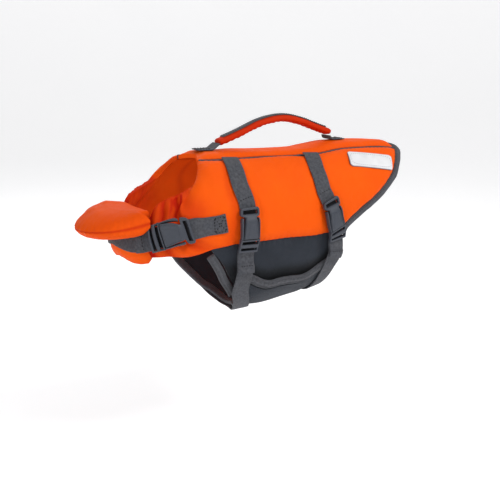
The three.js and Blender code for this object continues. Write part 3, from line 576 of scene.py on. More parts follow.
class Finish:
    """A material while it is made. wear() sets what changes over its surface."""

    def __init__(self, name, roughness, **plain):
        self.material = bpy.data.materials.new(name)
        self.material.use_nodes = True
        self.tree = self.material.node_tree
        self.shader = self.tree.nodes["Principled BSDF"]
        self.shader.inputs["Roughness"].default_value = roughness
        for socket, value in plain.items():
            self.shader.inputs[socket.replace("_", " ")].default_value = value

    def node(self, kind, settings=None, sockets=None, out=0):
        """Any node: its settings first, then the values or links of its sockets, by name or number."""
        made = self.tree.nodes.new("ShaderNode" + kind)
        for name, value in (settings or {}).items():
            setattr(made, name, value)
        for name, value in (sockets or {}).items():
            if isinstance(value, Wire):
                self.tree.links.new(value.socket, made.inputs[name])
            else:
                made.inputs[name].default_value = value
        return Wire(self, made.outputs[out])

    def maths(self, operation, *values):
        return self.node("Math", {"operation": operation}, dict(enumerate(values)))

    def sine(self, value):
        return self.maths("SINE", value)

    def place(self):
        """Along and across the cloth in mm, and the shade value to paint in, from the mesh."""
        vector = self.node("Attribute", {"attribute_name": "cloth"}, out="Vector")
        return [self.node("SeparateXYZ", None, {0: vector}, out=k) for k in range(3)]

    def noise(self, size, detail=2.0, vector=None):
        """An unevenness from 0 to 1, size mm long, in the object's own space."""
        vector = vector or self.node("TexCoord", out="Object")
        sockets = {"Vector": vector, "Scale": 1000.0 / size, "Detail": detail}
        return self.node("TexNoise", None, sockets, out=0)

    def blend(self, share, first, second):
        made = {"data_type": "RGBA"}
        return self.node("Mix", made, {0: share, 6: first, 7: second}, out=2)

    def between(self, value, low, high):
        """0 below low, 1 above high."""
        settings = {"clamp": True}
        return self.node("MapRange", settings, {0: value, 1: low, 2: high, 3: 0.0, 4: 1.0})

    def wear(self, colour=None, roughness=None, relief=None, depth=0.1):
        """Relief is a height from 0 to 1, depth mm deep."""
        links = self.tree.links
        if colour is not None:
            links.new(colour.socket, self.shader.inputs["Base Color"])
        if roughness is not None:
            links.new(roughness.socket, self.shader.inputs["Roughness"])
        if relief is not None:
            sockets = {"Strength": 1.0, "Distance": depth * 0.001, "Height": relief}
            bump = self.node("Bump", None, sockets)
            links.new(bump.socket, self.shader.inputs["Normal"])
        return self.material


def rgb(red, green, blue):
    """A colour as a screen shows it, from 0 to 255, as the shader's own linear numbers."""
    return tuple(((c / 255 + 0.055) / 1.055) ** 2.4 for c in (red, green, blue)) + (1.0,)


def nylon(name, bright, deep):
    """Coated plain-weave nylon over foam: a fine weave, slight mottling, and a deeper red as the mesh's shade
    value says.
    """
    f = Finish(name, 0.6, Specular_IOR_Level=0.07)
    along, across, depth = f.place()
    warp, weft = f.sine(along * (math.pi / 0.45)), f.sine(across * (math.pi / 0.45))
    weave = 0.5 + 0.5 * (warp * weft)
    crumple = f.noise(9, 3)
    mottled = f.between(f.noise(38, 3), 0.3, 0.7)
    colour = f.blend(mottled * 0.4, bright, rgb(228, 74, 5))
    # The shade value turns the orange towards the deep red: painted shade in folds, creases and beside seams
    # and straps.
    colour = f.blend(f.between(depth, 0.0, 1.0), colour, deep)
    return f.wear(colour, 0.52 + 0.16 * f.noise(5), 0.75 * crumple + 0.25 * weave, 0.42)


def neoprene(name):
    """Neoprene with a fine knitted face: short slanted loops, a soft sheen, and painted shade where the mesh
    carries it.
    """
    f = Finish(name, 0.8, Sheen_Weight=0.08, Sheen_Roughness=0.4, Specular_IOR_Level=0.25)
    along, across, depth = f.place()
    slant = f.maths("PINGPONG", across, 0.7)
    loops = 0.5 + 0.5 * f.sine((along + slant) * (2 * math.pi / 0.9))
    colour = f.blend(f.between(f.noise(30, 4), 0.3, 0.7), rgb(27, 32, 40), rgb(37, 42, 51))
    colour = f.blend(f.noise(1.1, 2) * 0.2, colour, rgb(58, 63, 72))
    # Painted shade, as the mesh's shade value says.
    colour = f.blend(f.between(depth, 0.0, 1.0), colour, rgb(14, 16, 20))
    return f.wear(colour, 0.72 + 0.15 * f.noise(4), 0.6 * loops + 0.4 * f.noise(6), 0.18)


def tape(name, light, dark):
    """Binding tape: fine ribs across it, a little fuzz, and lighter threads here and there."""
    f = Finish(name, 0.85, Sheen_Weight=0.1, Sheen_Roughness=0.5, Specular_IOR_Level=0.25)
    along, _, depth = f.place()
    ribs = 0.5 + 0.5 * f.sine(along * (2 * math.pi / 1.0))
    colour = f.blend(f.between(f.noise(2.2, 3), 0.3, 0.7), dark, light)
    colour = f.blend(f.between(f.noise(24, 2), 0.35, 0.75) * 0.35, colour, rgb(88, 89, 94))
    # Painted shade, as the mesh's shade value says.
    colour = f.blend(f.between(depth, 0.0, 1.0), colour, rgb(20, 20, 23))
    return f.wear(colour, 0.78 + 0.15 * f.noise(3), 0.75 * ribs + 0.25 * f.noise(1.5), 0.22)


def webbing_weave(name):
    """Woven webbing in a soft grey melange: ribs that run in chevrons, and dark where a slot shades it."""
    f = Finish(name, 0.82, Sheen_Weight=0.1, Sheen_Roughness=0.5, Specular_IOR_Level=0.25)
    along, across, depth = f.place()
    slant = f.maths("PINGPONG", across, 2.4)
    ribs = 0.5 + 0.5 * f.sine((along + slant) * (2 * math.pi / 1.5))
    yarn = 0.5 + 0.5 * f.sine(across * (2 * math.pi / 0.8))
    flecks = f.between(f.noise(2.6, 4), 0.3, 0.72)
    colour = f.blend(flecks, rgb(58, 59, 64), rgb(82, 83, 88))
    colour = f.blend(f.between(f.noise(14, 2), 0.35, 0.7) * 0.35, colour, rgb(60, 64, 73))
    colour = f.blend(f.between(depth, 0.0, 1.0), colour, rgb(16, 12, 14))
    return f.wear(colour, 0.76 + 0.18 * f.noise(2), 0.55 * ribs + 0.25 * yarn + 0.2 * flecks, 0.3)


def moulded(name):
    """Moulded plastic with a fine grain and faint scuffs."""
    f = Finish(name, 0.42, Specular_IOR_Level=0.4)
    scuffs = f.between(f.noise(3.5, 5), 0.6, 0.8)
    colour = f.blend(scuffs * 0.35, rgb(56, 60, 69), rgb(84, 89, 99))
    return f.wear(colour, 0.4 + 0.18 * f.noise(2, 3), f.noise(0.5, 2), 0.03)


def patch(name):
    """A smooth white woven patch, greyer within about half a millimetre of its edge."""
    f = Finish(name, 0.55, Specular_IOR_Level=0.25)
    along, _, depth = f.place()
    satin = 0.5 + 0.5 * f.sine(along * (2 * math.pi / 0.5))
    colour = f.blend(f.between(f.noise(12, 3), 0.3, 0.7), rgb(222, 223, 225), rgb(210, 211, 214))
    colour = f.blend(f.between(depth, 0.0, 1.0), colour, rgb(120, 122, 128))
    return f.wear(colour, 0.5 + 0.15 * f.noise(3), 0.7 * satin + 0.3 * f.noise(2), 0.06)


def thread(name, colour):
    """Sewing thread: twisted, with a slight shine."""
    f = Finish(name, 0.6, Specular_IOR_Level=0.3)
    along, across, _ = f.place()
    twist = 0.5 + 0.5 * f.sine((along + across) * (2 * math.pi / 0.5))
    paler = tuple(min(1.0, 1.25 * c) for c in colour)
    return f.wear(f.blend(f.noise(1), colour, paler), None, twist, 0.05)


# The second colour is the deep red that painted shade turns the orange towards.
ORANGE = nylon("orange_nylon", rgb(238, 89, 6), rgb(178, 18, 2))
SLATE = neoprene("slate_neoprene")
GREY_TAPE = tape("grey_tape", rgb(78, 79, 84), rgb(60, 61, 66))
GREY_WEBBING = webbing_weave("grey_webbing")
PLASTIC = moulded("moulded_grey")
WHITE = patch("white_patch")
DARK_THREAD = thread("dark_thread", rgb(12, 12, 14))
PALE_THREAD = thread("pale_thread", rgb(150, 151, 155))

SIDES = (("left", -1), ("right", 1))


# Panels
def seam_shade(inset, reach):
    """1 at a seam, dying away within a few mm of it."""
    return np.exp(-np.maximum(inset, 0) / reach)


def seam_puckers(along, inset, pitch=6.0, depth=0.32, reach=5.0):
    """Small gathers beside a seam: waves along it that die away within a few mm."""
    return depth * np.sin(2 * np.pi * along / pitch) * seam_shade(inset, reach)


WING_SHARE = 0.25
TRUNK_SHARE = 0.44
EDGE_START = -118.6
SEAM_START = -113.5
TRUNK_START = -106
SEAM_CORNER = 102.2


def lower_seam(u):
    """The lower seam's angle, which runs into the corner of the wing at its front end."""
    before_seam = np.clip((SEAM_START - u) / (SEAM_START - EDGE_START), 0, 1)
    return mix(read(LOWER_SEAM, "u", u, "v"), SEAM_CORNER, before_seam)


def foam(name, node, rings, shade, fill=0.5, caps="across"):
    """A padded piece in the orange cloth."""
    piece = Shell().add(rings, caps=caps, shade=shade).make(name, ORANGE, [node], "foam_orange")


def side_place(a, b):
    """A side panel's grid spans a foot line, along the chest edge and the lower seam, and a head line, along
    the neck edge and the piping. Towards the tail it bulges out to the rear edge."""
    corner = read(PIPING, "u", -139, "v") + PIPING_ROOM
    top, foot = read(PIPING, "u", 127, "v") + PIPING_ROOM, 102.9
    rear = lambda v: read(REAR_EDGE, "v", v, "u")
    trunk = (a - TRUNK_SHARE) / (1 - TRUNK_SHARE)
    v1 = mix(CHEST_SIDE - 0.2, SEAM_CORNER, a / WING_SHARE)
    u2 = mix(EDGE_START, TRUNK_START, (a - WING_SHARE) / (TRUNK_SHARE - WING_SHARE))
    u3 = mix(TRUNK_START, rear(foot), trunk)
    parts = [a < WING_SHARE, a < TRUNK_SHARE]
    low_u = np.select(parts, [read(CHEST_EDGE, "v", v1, "u"), u2], u3)
    low_v = np.select(parts, [v1, lower_seam(u2)], read(LOWER_SEAM, "u", u3, "v"))
    v4 = mix(CHEST_SIDE - 0.2, corner, np.clip(a / TRUNK_SHARE, 0, 1) ** 1.15)
    u5 = mix(read(NECK_EDGE, "v", corner, "u"), rear(top), trunk)
    on_neck = a < TRUNK_SHARE
    high_u = np.where(on_neck, read(NECK_EDGE, "v", v4, "u"), u5)
    high_v = np.where(on_neck, v4, read(PIPING, "u", u5, "v") + PIPING_ROOM)
    bulge = rear(mix(top, foot, b)) - mix(rear(top), rear(foot), b)
    return mix(high_u, low_u, b) + bulge * np.clip(trunk, 0, 1) ** 1.3, mix(high_v, low_v, b)


def side_panel(name, sign):
    a, b = np.meshgrid(np.linspace(0, 1, 281), gather(np.linspace(0, 1, 81)), indexing="ij")
    u, v = side_place(a, b)
    v = sign * v
    plain = side_height(u, v)
    piping, foot, neck, rear, chest = side_insets(u, v)
    angle = side_angle(v)
    wing = (1 - smooth(u, -126, -114)) * smooth(angle, 86, 96)
    off_strap = np.abs(u - read(NECK_STRAP, "v", angle, "u")) * np.linalg.norm(slopes(u, v)[0], axis=-1)
    free = wing * smooth(off_strap, 8, 14) * smooth(np.minimum(neck, foot), -1, 5) * (1 if sign < 0 else 0.45)
    deeper = fold_wave(angle + 1.2 * uneven(u * 3, v, 3, 30), 1.5)
    crease = hill(angle - 97.5 - 0.12 * (u + 140), 1.7) + 0.6 * hill(angle - 110, 2.2)
    crease = crease * wing * smooth(neck, 0, 4) * (1 - 0.6 * smooth(neck, 18, 30)) * (1 if sign < 0 else 0.3)
    round_mm = angle * 1.1 * sign
    height = plain + 0.75 * free * deeper - 0.7 * crease
    height += 0.45 * uneven(u, round_mm, 7 + sign, 34) * roll(neck)
    height += 0.22 * uneven(u, round_mm, 17 + sign, 13) * roll(foot) * roll(piping)
    height += seam_puckers(u, piping) + seam_puckers(u, foot, 7.5) * (u > -112)
    height += seam_puckers(angle * 1.2, rear, 7, 0.3) * (angle > 22) + seam_puckers(angle, neck, 5, 0.3)
    creases = hill(u + 92 - 0.12 * (angle - 60), 2.2) * smooth(angle, 55, 75)
    creases += 0.7 * hill(u + 24 + 0.1 * (angle - 60), 2.6) * smooth(angle, 50, 72)
    height -= 0.5 * creases * (1 - smooth(angle, 90, 97))
    # Painted shade, towards the deep red: in the hollows of the wing's folds and in its creases, beside the
    # foot and neck seams, over the wing's front near the neck and beside the chest panel, and along both
    # edges of each girth strap.
    shade = np.clip(-deeper * free * 0.3, 0, 0.4) + 0.25 * seam_shade(np.minimum(foot, neck), 2.5)
    shade += 0.55 * crease + 0.5 * smooth(angle, 66, 88) * (1 - smooth(u, -134, -116))
    shade += 0.35 * smooth(angle, 128, 137) * wing
    for line in (FRONT_STRAP, REAR_STRAP):
        shade += 0.3 * hill(np.abs(u - read(line, "v", angle, "u")) - 9, 2.2)
    low = 0.15 * (1 + uneven(u, angle, 5, 20))
    rings, dark = wall(u, v, low, height, shade)
    foam(f"side_cloth_{name}", f"side_panel_{name}", rings, dark)


def back_panel():
    a, b = np.meshgrid(np.linspace(0, 1, 241), gather(np.linspace(0, 1, 57)), indexing="ij")
    side = 2 * b - 1
    level = np.abs(side) * 20
    u = mix(read(NECK_EDGE, "v", level, "u"), read(REAR_EDGE, "v", level, "u"), gather(a))
    v = side * (read(PIPING, "u", u, "v") - PIPING_ROOM)
    piping, neck, rear = back_insets(u, v)
    height = back_height(u, v) + 0.35 * uneven(u, v * 1.1, 23, 30) * roll(piping)
    height += seam_puckers(u, piping, 6.5)
    height += seam_puckers(v, neck, 5, 0.25) + seam_puckers(v, rear, 5, 0.25)
    # Painted shade along the piping seams.
    foam("back_cloth", "back_panel", *wall(u, v, 0.0, height, 0.3 * seam_shade(piping, 2.0)))


def chest_panel():
    a, b = np.meshgrid(np.linspace(0, 1, 121), gather(np.linspace(0, 1, 49)), indexing="ij")
    v = mix(CHEST_SIDE + 0.2, 360 - CHEST_SIDE - 0.2, a)
    side = side_angle(v)
    u = mix(read(NECK_EDGE, "v", side, "u"), read(CHEST_FOOT, "v", side, "u"), b)
    neck, foot, seam = chest_insets(u, v)
    height = chest_height(u, v) + 0.35 * uneven(v * 1.2, u * 3, 31, 24) * roll(foot) * roll(neck)
    height += seam_puckers(v, foot, 9, 0.15) + seam_puckers(u * 3, seam, 8, 0.2)
    # Painted shade beside the seams to the wings and along the foot.
    shade = 0.3 * seam_shade(np.minimum(seam, foot), 2.5)
    foam("chest_cloth", "chest_panel", *wall(u, v, 0.0, height, shade))


def stretched(name, node, u, v, low, high, shade):
    """A wall of slate cloth drawn over the wearer. It also works out the cells of its middle layer, and does
    nothing more with them.
    """
    rings, dark = wall(u, v, low, high, shade)
    piece = Shell().add(rings, caps="across", shade=dark).make(name, SLATE, [node], "neoprene_slate")
    points = stand(u, v, (low + high) / 2) * 0.001
    corner, end, side, far = points[:-1, :-1], points[1:, :-1], points[:-1, 1:], points[1:, 1:]
    halves = np.cross(end - corner, side - corner), np.cross(side - far, end - far)


def cloth_top(u):
    """Where the flap and the belly panel are sewn to the side panels: the lower seam, then the chest edge."""
    return lower_seam(u) + 2.2 * np.maximum(0, EDGE_START - u) + SEAM_ROOM


def flap():
    """The cloth under the belly panel on the left, hung from the lower seam."""
    a, b = np.meshgrid(np.linspace(0, 1, 141) ** 1.6, np.linspace(0, 1, 61), indexing="ij")
    level = mix(101.5, FLAP_FOOT, b)
    u = mix(read(FLAP_FRONT, "v", level, "u"), read(WAIST, "v", level, "u"), a)
    v = -mix(cloth_top(u), FLAP_FOOT, b)
    bare = 1 - smooth(level, 112, 120)
    inset = (level - 101.5) * 1.2
    height = NEOPRENE + 0.25 * uneven(u, v * 1.2, 41, 28) * bare + seam_puckers(u, inset, 7, 0.35, 4)
    # Painted shadow on the flap, deepening towards where it runs under the belly panel's hem.
    hem = read(BELLY_TOP, "u", u, "v")
    shade = smooth(side_angle(v), hem - 9, hem - 1) * 0.85
    stretched("flap_cloth", "flap_left", u, v, 0.0, height, shade)


def belly_panel():
    """The cloth from the right lower seam under the belly to its free edge, with a sag between the straps."""
    a, b = np.meshgrid(np.linspace(0, 1, 181), np.linspace(0, 1, 121) ** 1.6, indexing="ij")
    across = lambda v: mix(read(BELLY_FRONT, "v", v, "u"), read(WAIST, "v", side_angle(v), "u"), b)
    u = across(mix(101.5, 232, a))
    v = mix(cloth_top(u), 360 - read(BELLY_TOP, "u", u, "v") - HEM_ROOM, a)
    u = mix(u, across(v), np.minimum(1, 8 * a))
    free = smooth(u, -92, -70) * (1 - smooth(u, -22, -4)) * smooth(v, 150, 190)
    drag = hill(v - 226 + 0.16 * (u + 10), 2.4) + 0.7 * hill(v - 219 + 0.3 * (u + 30), 2.8)
    soft = 0.5 * uneven(u, v * 1.2, 47, 40) * free - 0.7 * free * drag
    low = belly_low(u, v)
    stretched("belly_cloth", "belly_panel", u, v, low + 0.5 * soft, low + NEOPRENE + soft, 0.0)


# Bindings and piping
def edge_line(table, start, end, count):
    v = np.linspace(start, end, count)
    return read(table, "v", side_angle(v), "u"), v


def binding(name, node, u, v, aside, height, width, thickness, waves=0.0):
    """Folded tape over an edge. Its section is an oval with flat faces and a dip where it is sewn."""
    px, py = rounded(32, 0.7, 0.55)
    dip = 1 - 0.1 * hill(np.abs(px) - 0.5, 0.16)
    step = travelled(stand(u, v, 0))
    wave = waves * uneven(step, 0 * step, len(name), 16)
    rings = bead(u, v, aside + wave, height, width, thickness * (1 + 0.03 * wave)[:, None], (px, py * dip))
    Shell().add(rings).make(name, GREY_TAPE, [node], "binding_grey")
    return rings


def thread_line(rings, side):
    """A line along a binding's outer face, between its middle and one side, and its outward directions."""
    n = rings.shape[1]
    centre = rings.mean(1)
    px, py = rounded(n, 0.7, 0.55)
    k = np.argmin(np.abs(px - side) + 9 * (py < 0))
    points = rings[:, k]
    out = unit(rings[:, n // 4 : n // 4 + 1].mean(1) - centre)
    return points, out


def wide_band(name, node, u, v, aside, height, width, gathered=0.06):
    """The wide band over a free edge: an oval with four ridges between three sewn lines, and gathered."""
    px, py = rounded(72, 0.6, 0.45)
    ridge = 1 - 0.3 * np.cos(px * 4 * np.pi) ** 6 * (np.abs(px) < 0.8) * (py > 0)
    step = travelled(stand(u, v, 0))
    gathers = 1 + gathered * (np.sin(2 * np.pi * step / 5.5) + uneven(step, 0 * step, 51, 12))
    rings = bead(u, v, aside, height, width, EDGE_BINDING_HEIGHT * gathers[:, None], (px, py * ridge))
    Shell().add(rings).make(name, GREY_TAPE, [node], "binding_grey")


def piping(name, sign):
    """A cord in the seam, with the flange that is sewn in between the two panels."""
    u = np.linspace(-137.2, 126.8, 260)
    v = sign * read(PIPING, "u", u, "v")
    height = FOAM_EDGE - 0.4 + 0.15 * uneven(u, 0 * u, 61 + sign, 14)
    rings = bead(u, v, 0.0, height, 2 * PIPING_RADIUS, 2 * PIPING_RADIUS + 0.8, rounded(16, 1, 1))
    flange = bead(u, v, 0.0, 2.2, 2 * PIPING_RADIUS + 4, 1.2, rounded(16, 0.5, 0.5))
    Shell().add(rings).add(flange).make(f"piping_cord_{name}", GREY_TAPE, [f"piping_{name}"], "binding_grey")


# Straps and buckles
SLOT_END = 6.4
CLIP_SLOT = 33.4
UNDER = WEBBING + 2 * SEAM
SOCKET_HALF = columns("s half", (6.2, 10.6), (7.8, 10.2), (9.6, 6.6), (13, 7.2), (31, 8.9))
ARM = columns("s side", (9.8, 9.2), (13, 9.7), (20, 9.7), (26, 9.8), (34, 9.8))


def rod(strap, s, side, half, low, high, square=0.4, closed=False, count=16):
    """A moulded bar along a path on a strap, given by lengths and sideways places."""
    path = np.stack(np.broadcast_arrays(np.asarray(s, float), np.asarray(side, float)), -1)
    if closed:
        along = unit(np.roll(path, -1, 0) - np.roll(path, 1, 0))
    else:
        along = unit(np.gradient(path, axis=0))
    px, py = rounded(count, square, square)
    half, low, high = (np.broadcast_to(size, len(path))[:, None] for size in (half, low, high))
    return strap.point(
        path[:, :1] - along[:, 1:] * half * px,
        path[:, 1:] + along[:, :1] * half * px,
        mix(low, high, (1 + py) / 2),
    )


def frame_path(start, end, half, corner=1.6, count=14):
    """Round a rectangle with round corners, as lengths and sideways places."""
    turn = np.linspace(0, np.pi / 2, count // 3)
    rows = []
    for k, (s, t) in enumerate(((end, half), (start, half), (start, -half), (end, -half))):
        centre = (s - corner * (1 if s == end else -1), t - corner * (1 if t > 0 else -1))
        arc = turn + k * np.pi / 2
        rows.append(np.stack([centre[0] + corner * np.cos(arc), centre[1] + corner * np.sin(arc)], -1))
    path = np.concatenate(rows)
    fine = []
    for a, b in zip(path, np.roll(path, -1, 0)):
        steps = max(1, int(np.linalg.norm(b - a) / 1.5))
        fine.append(a + (b - a) * (np.arange(steps) / steps)[:, None])
    path = np.concatenate(fine)
    return path[:, 0], path[:, 1]


def crown(s):
    return 4.4 + 2.4 * smooth(s, 5, 14) * (1 - smooth(s, 28, 38))


def buckle(name, strap, size):
    """A side-release buckle. The socket is a frame, a throat and a body that widens to its mouth; the clip is
    two slits between three bars, with an arm up each side of the body. Lengths shrink by the strap's size."""
    start = strap.socket

    def add(shell, s, side, half, low, high, **rule):
        rings = rod(strap, start + size * s, side, half, UNDER + low, UNDER + high, **rule)
        shell.add(rings, closed=rule.get("closed", False))

    socket = Shell()
    s, side = frame_path(1.2, 7.4, 9.8)
    add(socket, s, side, 1.2, 0, 4.2, closed=True)
    s = np.concatenate([np.linspace(6.2, 12, 16), np.linspace(13, 30.6, 22), [30.9, 31.0]])
    taper = np.concatenate([[0.5, 0.85], np.ones(len(s) - 4), [0.85, 0.5]])
    half = read(SOCKET_HALF, "s", s, "half") * (0.93 + 0.07 * taper)
    add(socket, s, 0 * s, half, 0, crown(s) * taper, square=0.3, count=40)
    s = np.linspace(14, 29, 10)
    add(socket, s, 0 * s, mix(2.6, 5.4, (s - 14) / 15), crown(s) - 0.6, crown(s) + 0.3, square=0.5, count=16)
    for sign in (-1, 1):
        s = np.linspace(13, 30, 12)
        edge = read(SOCKET_HALF, "s", s, "half") - 0.9
        add(socket, s, sign * edge, 0.5, crown(s) - 0.5, crown(s) + 0.35, square=0.6)
    socket.make(f"{name}_socket_form", PLASTIC, [f"{name}_buckle_socket"], "buckle_plastic")
    clip = Shell()
    for bar, half, raised in ((32.4, 1.0, 0), (38.7, 2.0, 0.4), (44.7, 1.25, 0)):
        side = np.linspace(-10.4, 10.4, 22)
        add(clip, np.full(22, bar), side, half * size, 0, crown(bar) + raised, square=0.45)
    for sign in (-1, 1):
        s = np.linspace(31.6, 45.6, 12)
        add(clip, s, np.full(12, sign * 10.15), 0.85, 0, crown(s), square=0.5)
        s = np.linspace(10, 33, 22)
        swell = 1 + 0.35 * hill(s - 15, 4.5)
        add(clip, s, sign * read(ARM, "s", s, "side"), 0.8 * swell, 0.4, crown(s) - 0.8, square=0.6)
    clip.make(f"{name}_clip_form", PLASTIC, [f"{name}_buckle_clip"], "buckle_plastic")


def sewn_line(strap, lengths, sides, height, count):
    """A straight line of sewing on a strap, and its outward directions."""
    t = np.linspace(0, 1, count)
    s, side = mix(*lengths, t), mix(*sides, t)
    points = strap.point(s, side, height)
    return points, unit(strap.point(s, side, height + 1) - points)


def box_lines(strap, start, end, height, inset=2.2):
    """A sewn box with a cross in it, on a strap between two lengths."""
    half = WEBBING_WIDTH / 2 - inset
    corners = [(start, -half), (end, -half), (end, half), (start, half), (start, -half)]
    runs = list(zip(corners[:-1], corners[1:])) + [(corners[0], corners[2]), (corners[1], corners[3])]
    return [sewn_line(strap, (s0, s1), (t0, t1), height, 24) for (s0, t0), (s1, t1) in runs]


def strap_pieces(name, table, start, socket_at, size, tail):
    """The webbing up to the socket, the webbing from the clip on round the body, and the loose tail. It gets
    painted shade where it goes through the buckle's slots."""
    strap = Strap(table, start, 360 - start, socket_at)
    first = strap.socket

    def webbing(part, s0, s1, low, thick, shade, count=None):
        rings = ribbon(strap, s0, s1, WEBBING_WIDTH, low, thick, count)
        s = np.linspace(s0, s1, len(rings))[:, None]
        piece = Shell().add(rings, shade=shade(s))
        piece.make(f"{name}_webbing_{part}", GREY_WEBBING, [f"{name}_{part}"], "webbing_grey")

    slot, end = first + size * 1.6, first + size * BUCKLE_LENGTH
    # Painted shade on the webbing inside the socket's slot and under the clip.
    into = lambda s: 0.9 * smooth(s, slot, slot + 1.2)
    out = lambda s: 0.9 - 0.9 * smooth(s, end - 1, end + 1.5)
    webbing("upper", 0, first + size * (SLOT_END + 1), 0, WEBBING, into)
    webbing("lower", first + size * CLIP_SLOT, strap.length, 0, WEBBING, out)
    begin = end + SEAM
    hem = lambda s: WEBBING * (1 + smooth(s, begin + tail - 9, begin + tail - 8))
    webbing("tail", begin, begin + tail, WEBBING + 1.5 * SEAM, hem, lambda s: 0 * s, 60)
    buckle(name, strap, size)
    lines = [sewn_line(strap, (begin + tail - 7.4,) * 2, (-7.6, 7.6), 3 * WEBBING + 1.5 * SEAM, 20)]
    if name == "neck_strap":
        return lines + box_lines(strap, 1.6, 14.6, WEBBING)
    return lines + [sewn_line(strap, (first - 9.0,) * 2, (-8, 8), WEBBING, 20)]


# Chin float
FLOAT_SIDE = 41
FLOAT_PROFILE = columns(
    "along top under end_top end_under",
    (0, -51, -56.5, -48, -55), (0.14, -45.5, -57.6, -43.5, -57), (0.95, -43.5, -57.6, -42, -57.6),
    (1.12, -43.5, -68, -42, -60.5), (1.5, -46.5, -73, -42, -63), (1.8, -53, -72, -43.5, -65),
    (2, -61.5, -66.5, -48, -60.5),
)


def float_rings(share):
    """Each section runs from a rear line, past a middle line just in front of the chest panel, to a nose
    line on an oval. Its faces pass from the table's middle heights to its end heights, and close at both."""
    turn = np.radians(90 * share)
    lift = lambda value: np.sign(value) * np.abs(value) ** (2 / 2.1)
    rear = np.stack([-197 - 5 * share**2, -33 * share], -1)
    high = CHEST_FOAM + LIFT + WEBBING + 2.2 + 5.4 * share**2
    middle = stand(np.full_like(share, -141.0), 180 + FLOAT_SIDE * share, high)
    nose = np.stack([-208 - 60.5 * lift(np.cos(turn)), -52 * lift(np.sin(turn))], -1)
    full = np.sqrt(1 - np.abs(share) ** 24)
    sideways = np.abs(share) ** 2.2
    top, under = [], []
    for along, high, low, end_high, end_low in zip(*FLOAT_PROFILE.values()):
        at = mix(rear, middle[:, :2], along) if along < 1 else mix(middle[:, :2], nose, along - 1)
        level = (end_high + end_low) / 2
        face = lambda z, end_z: np.concatenate([at, mix(level, mix(z, end_z, sideways), full)[:, None]], 1)
        top.append(face(high, end_high))
        under.append(face(low, end_low))
    return np.stack(top + under[::-1], 1)


def between_points(p, t):
    """A cubic from the second of four points to the third, smooth where it joins the next."""
    return 0.5 * (
        2 * p[1]
        + (p[2] - p[0]) * t
        + (2 * p[0] - 5 * p[1] + 4 * p[2] - p[3]) * t**2
        + (3 * p[1] - p[0] - 3 * p[2] + p[3]) * t**3
    )


def closed_curve(points, count):
    """A smooth closed curve through the points of each ring."""
    n = points.shape[1]
    at = np.arange(count) * n / count
    k, t = at.astype(int), (at % 1)[:, None]
    return between_points([points[:, (k + step) % n] for step in (-1, 0, 1, 2)], t)


def chin_float():
    share = 0.985 * (2 * gather(np.linspace(0, 1, 161)) - 1)
    rings = closed_curve(float_rings(share), 140)
    middle = rings.mean(1, keepdims=True)
    away = unit(rings - middle)
    step = travelled(rings[:, 50])[:, None]
    turn = np.arange(140)[None] / 140
    seam = np.abs(turn - 0.465)
    groove = hill(seam, 0.012)
    puckers = np.sin(2 * np.pi * step / 7.5 + 1.5 * uneven(step, 0 * step, 71, 30)) * np.exp(-seam / 0.07)
    soft = 0.55 * uneven(rings[..., 0], rings[..., 1], 73, 26) * smooth(seam, 0.02, 0.1)
    rings = rings + away * (0.45 * puckers * (1 - groove) + soft - 0.6 * groove)[..., None]
    # The float's shade value: 0.2 all over, a slightly redder tone, and painted shade in the groove of its
    # seam.
    foam("chin_float_cushion", "chin_float", rings, 0.2 + 0.5 * groove, 0.8, "pole")


# Grab handle
GRIP_ARCH = columns(
    "x z",
    (-103, 18.8), (-88, 23.6), (-73, 29), (-52, 37.2), (-34, 41.4), (-15, 42.4), (6, 37.8), (21, 32.3),
    (34, 27.6), (46.5, 23.6),
)


# Where the webbing leaves the back for the grip
FRONT_RISE = [[-110, 13.6], [-106.6, 16], [-103.4, 18.1]]
REAR_RISE = [[43.4, 19.9], [43.7, 17.8], [45.2, 16]]


def smooth_path(points, count):
    """A smooth open curve through some points, with its places at even lengths."""
    ends = np.concatenate([2 * points[:1] - points[1:2], points, 2 * points[-1:] - points[-2:-1]])
    at = np.linspace(0, len(points) - 1 - 1e-9, 40 * len(points))
    k = at.astype(int)
    fine = between_points([ends[k + step] for step in range(4)], (at % 1)[:, None])
    step = travelled(fine)
    even = np.linspace(0, step[-1], count)
    return np.stack([np.interp(even, step, fine[:, k]) for k in range(points.shape[1])], -1)


def sweep(path, width, thickness, profile, lift=0.0):
    """A section carried along a path in the plane of the spine. Lift moves it up from the path."""
    along = unit(np.gradient(path, axis=0))
    up = np.stack([-along[:, 1], along[:, 0]], -1)
    px, py = profile
    width, thickness = (np.broadcast_to(size, len(path))[:, None] for size in (width, thickness))
    high = path[:, None] + up[:, None] * (lift + thickness / 2 * py)[..., None]
    side = np.broadcast_to(width / 2 * px, high.shape[:2])
    return np.stack([high[..., 0], side, high[..., 1]], -1)


def on_spine(u):
    point = stand(np.asarray(u, float), 0.0, FOAM + LIFT + WEBBING / 2)
    return point[..., [0, 2]]


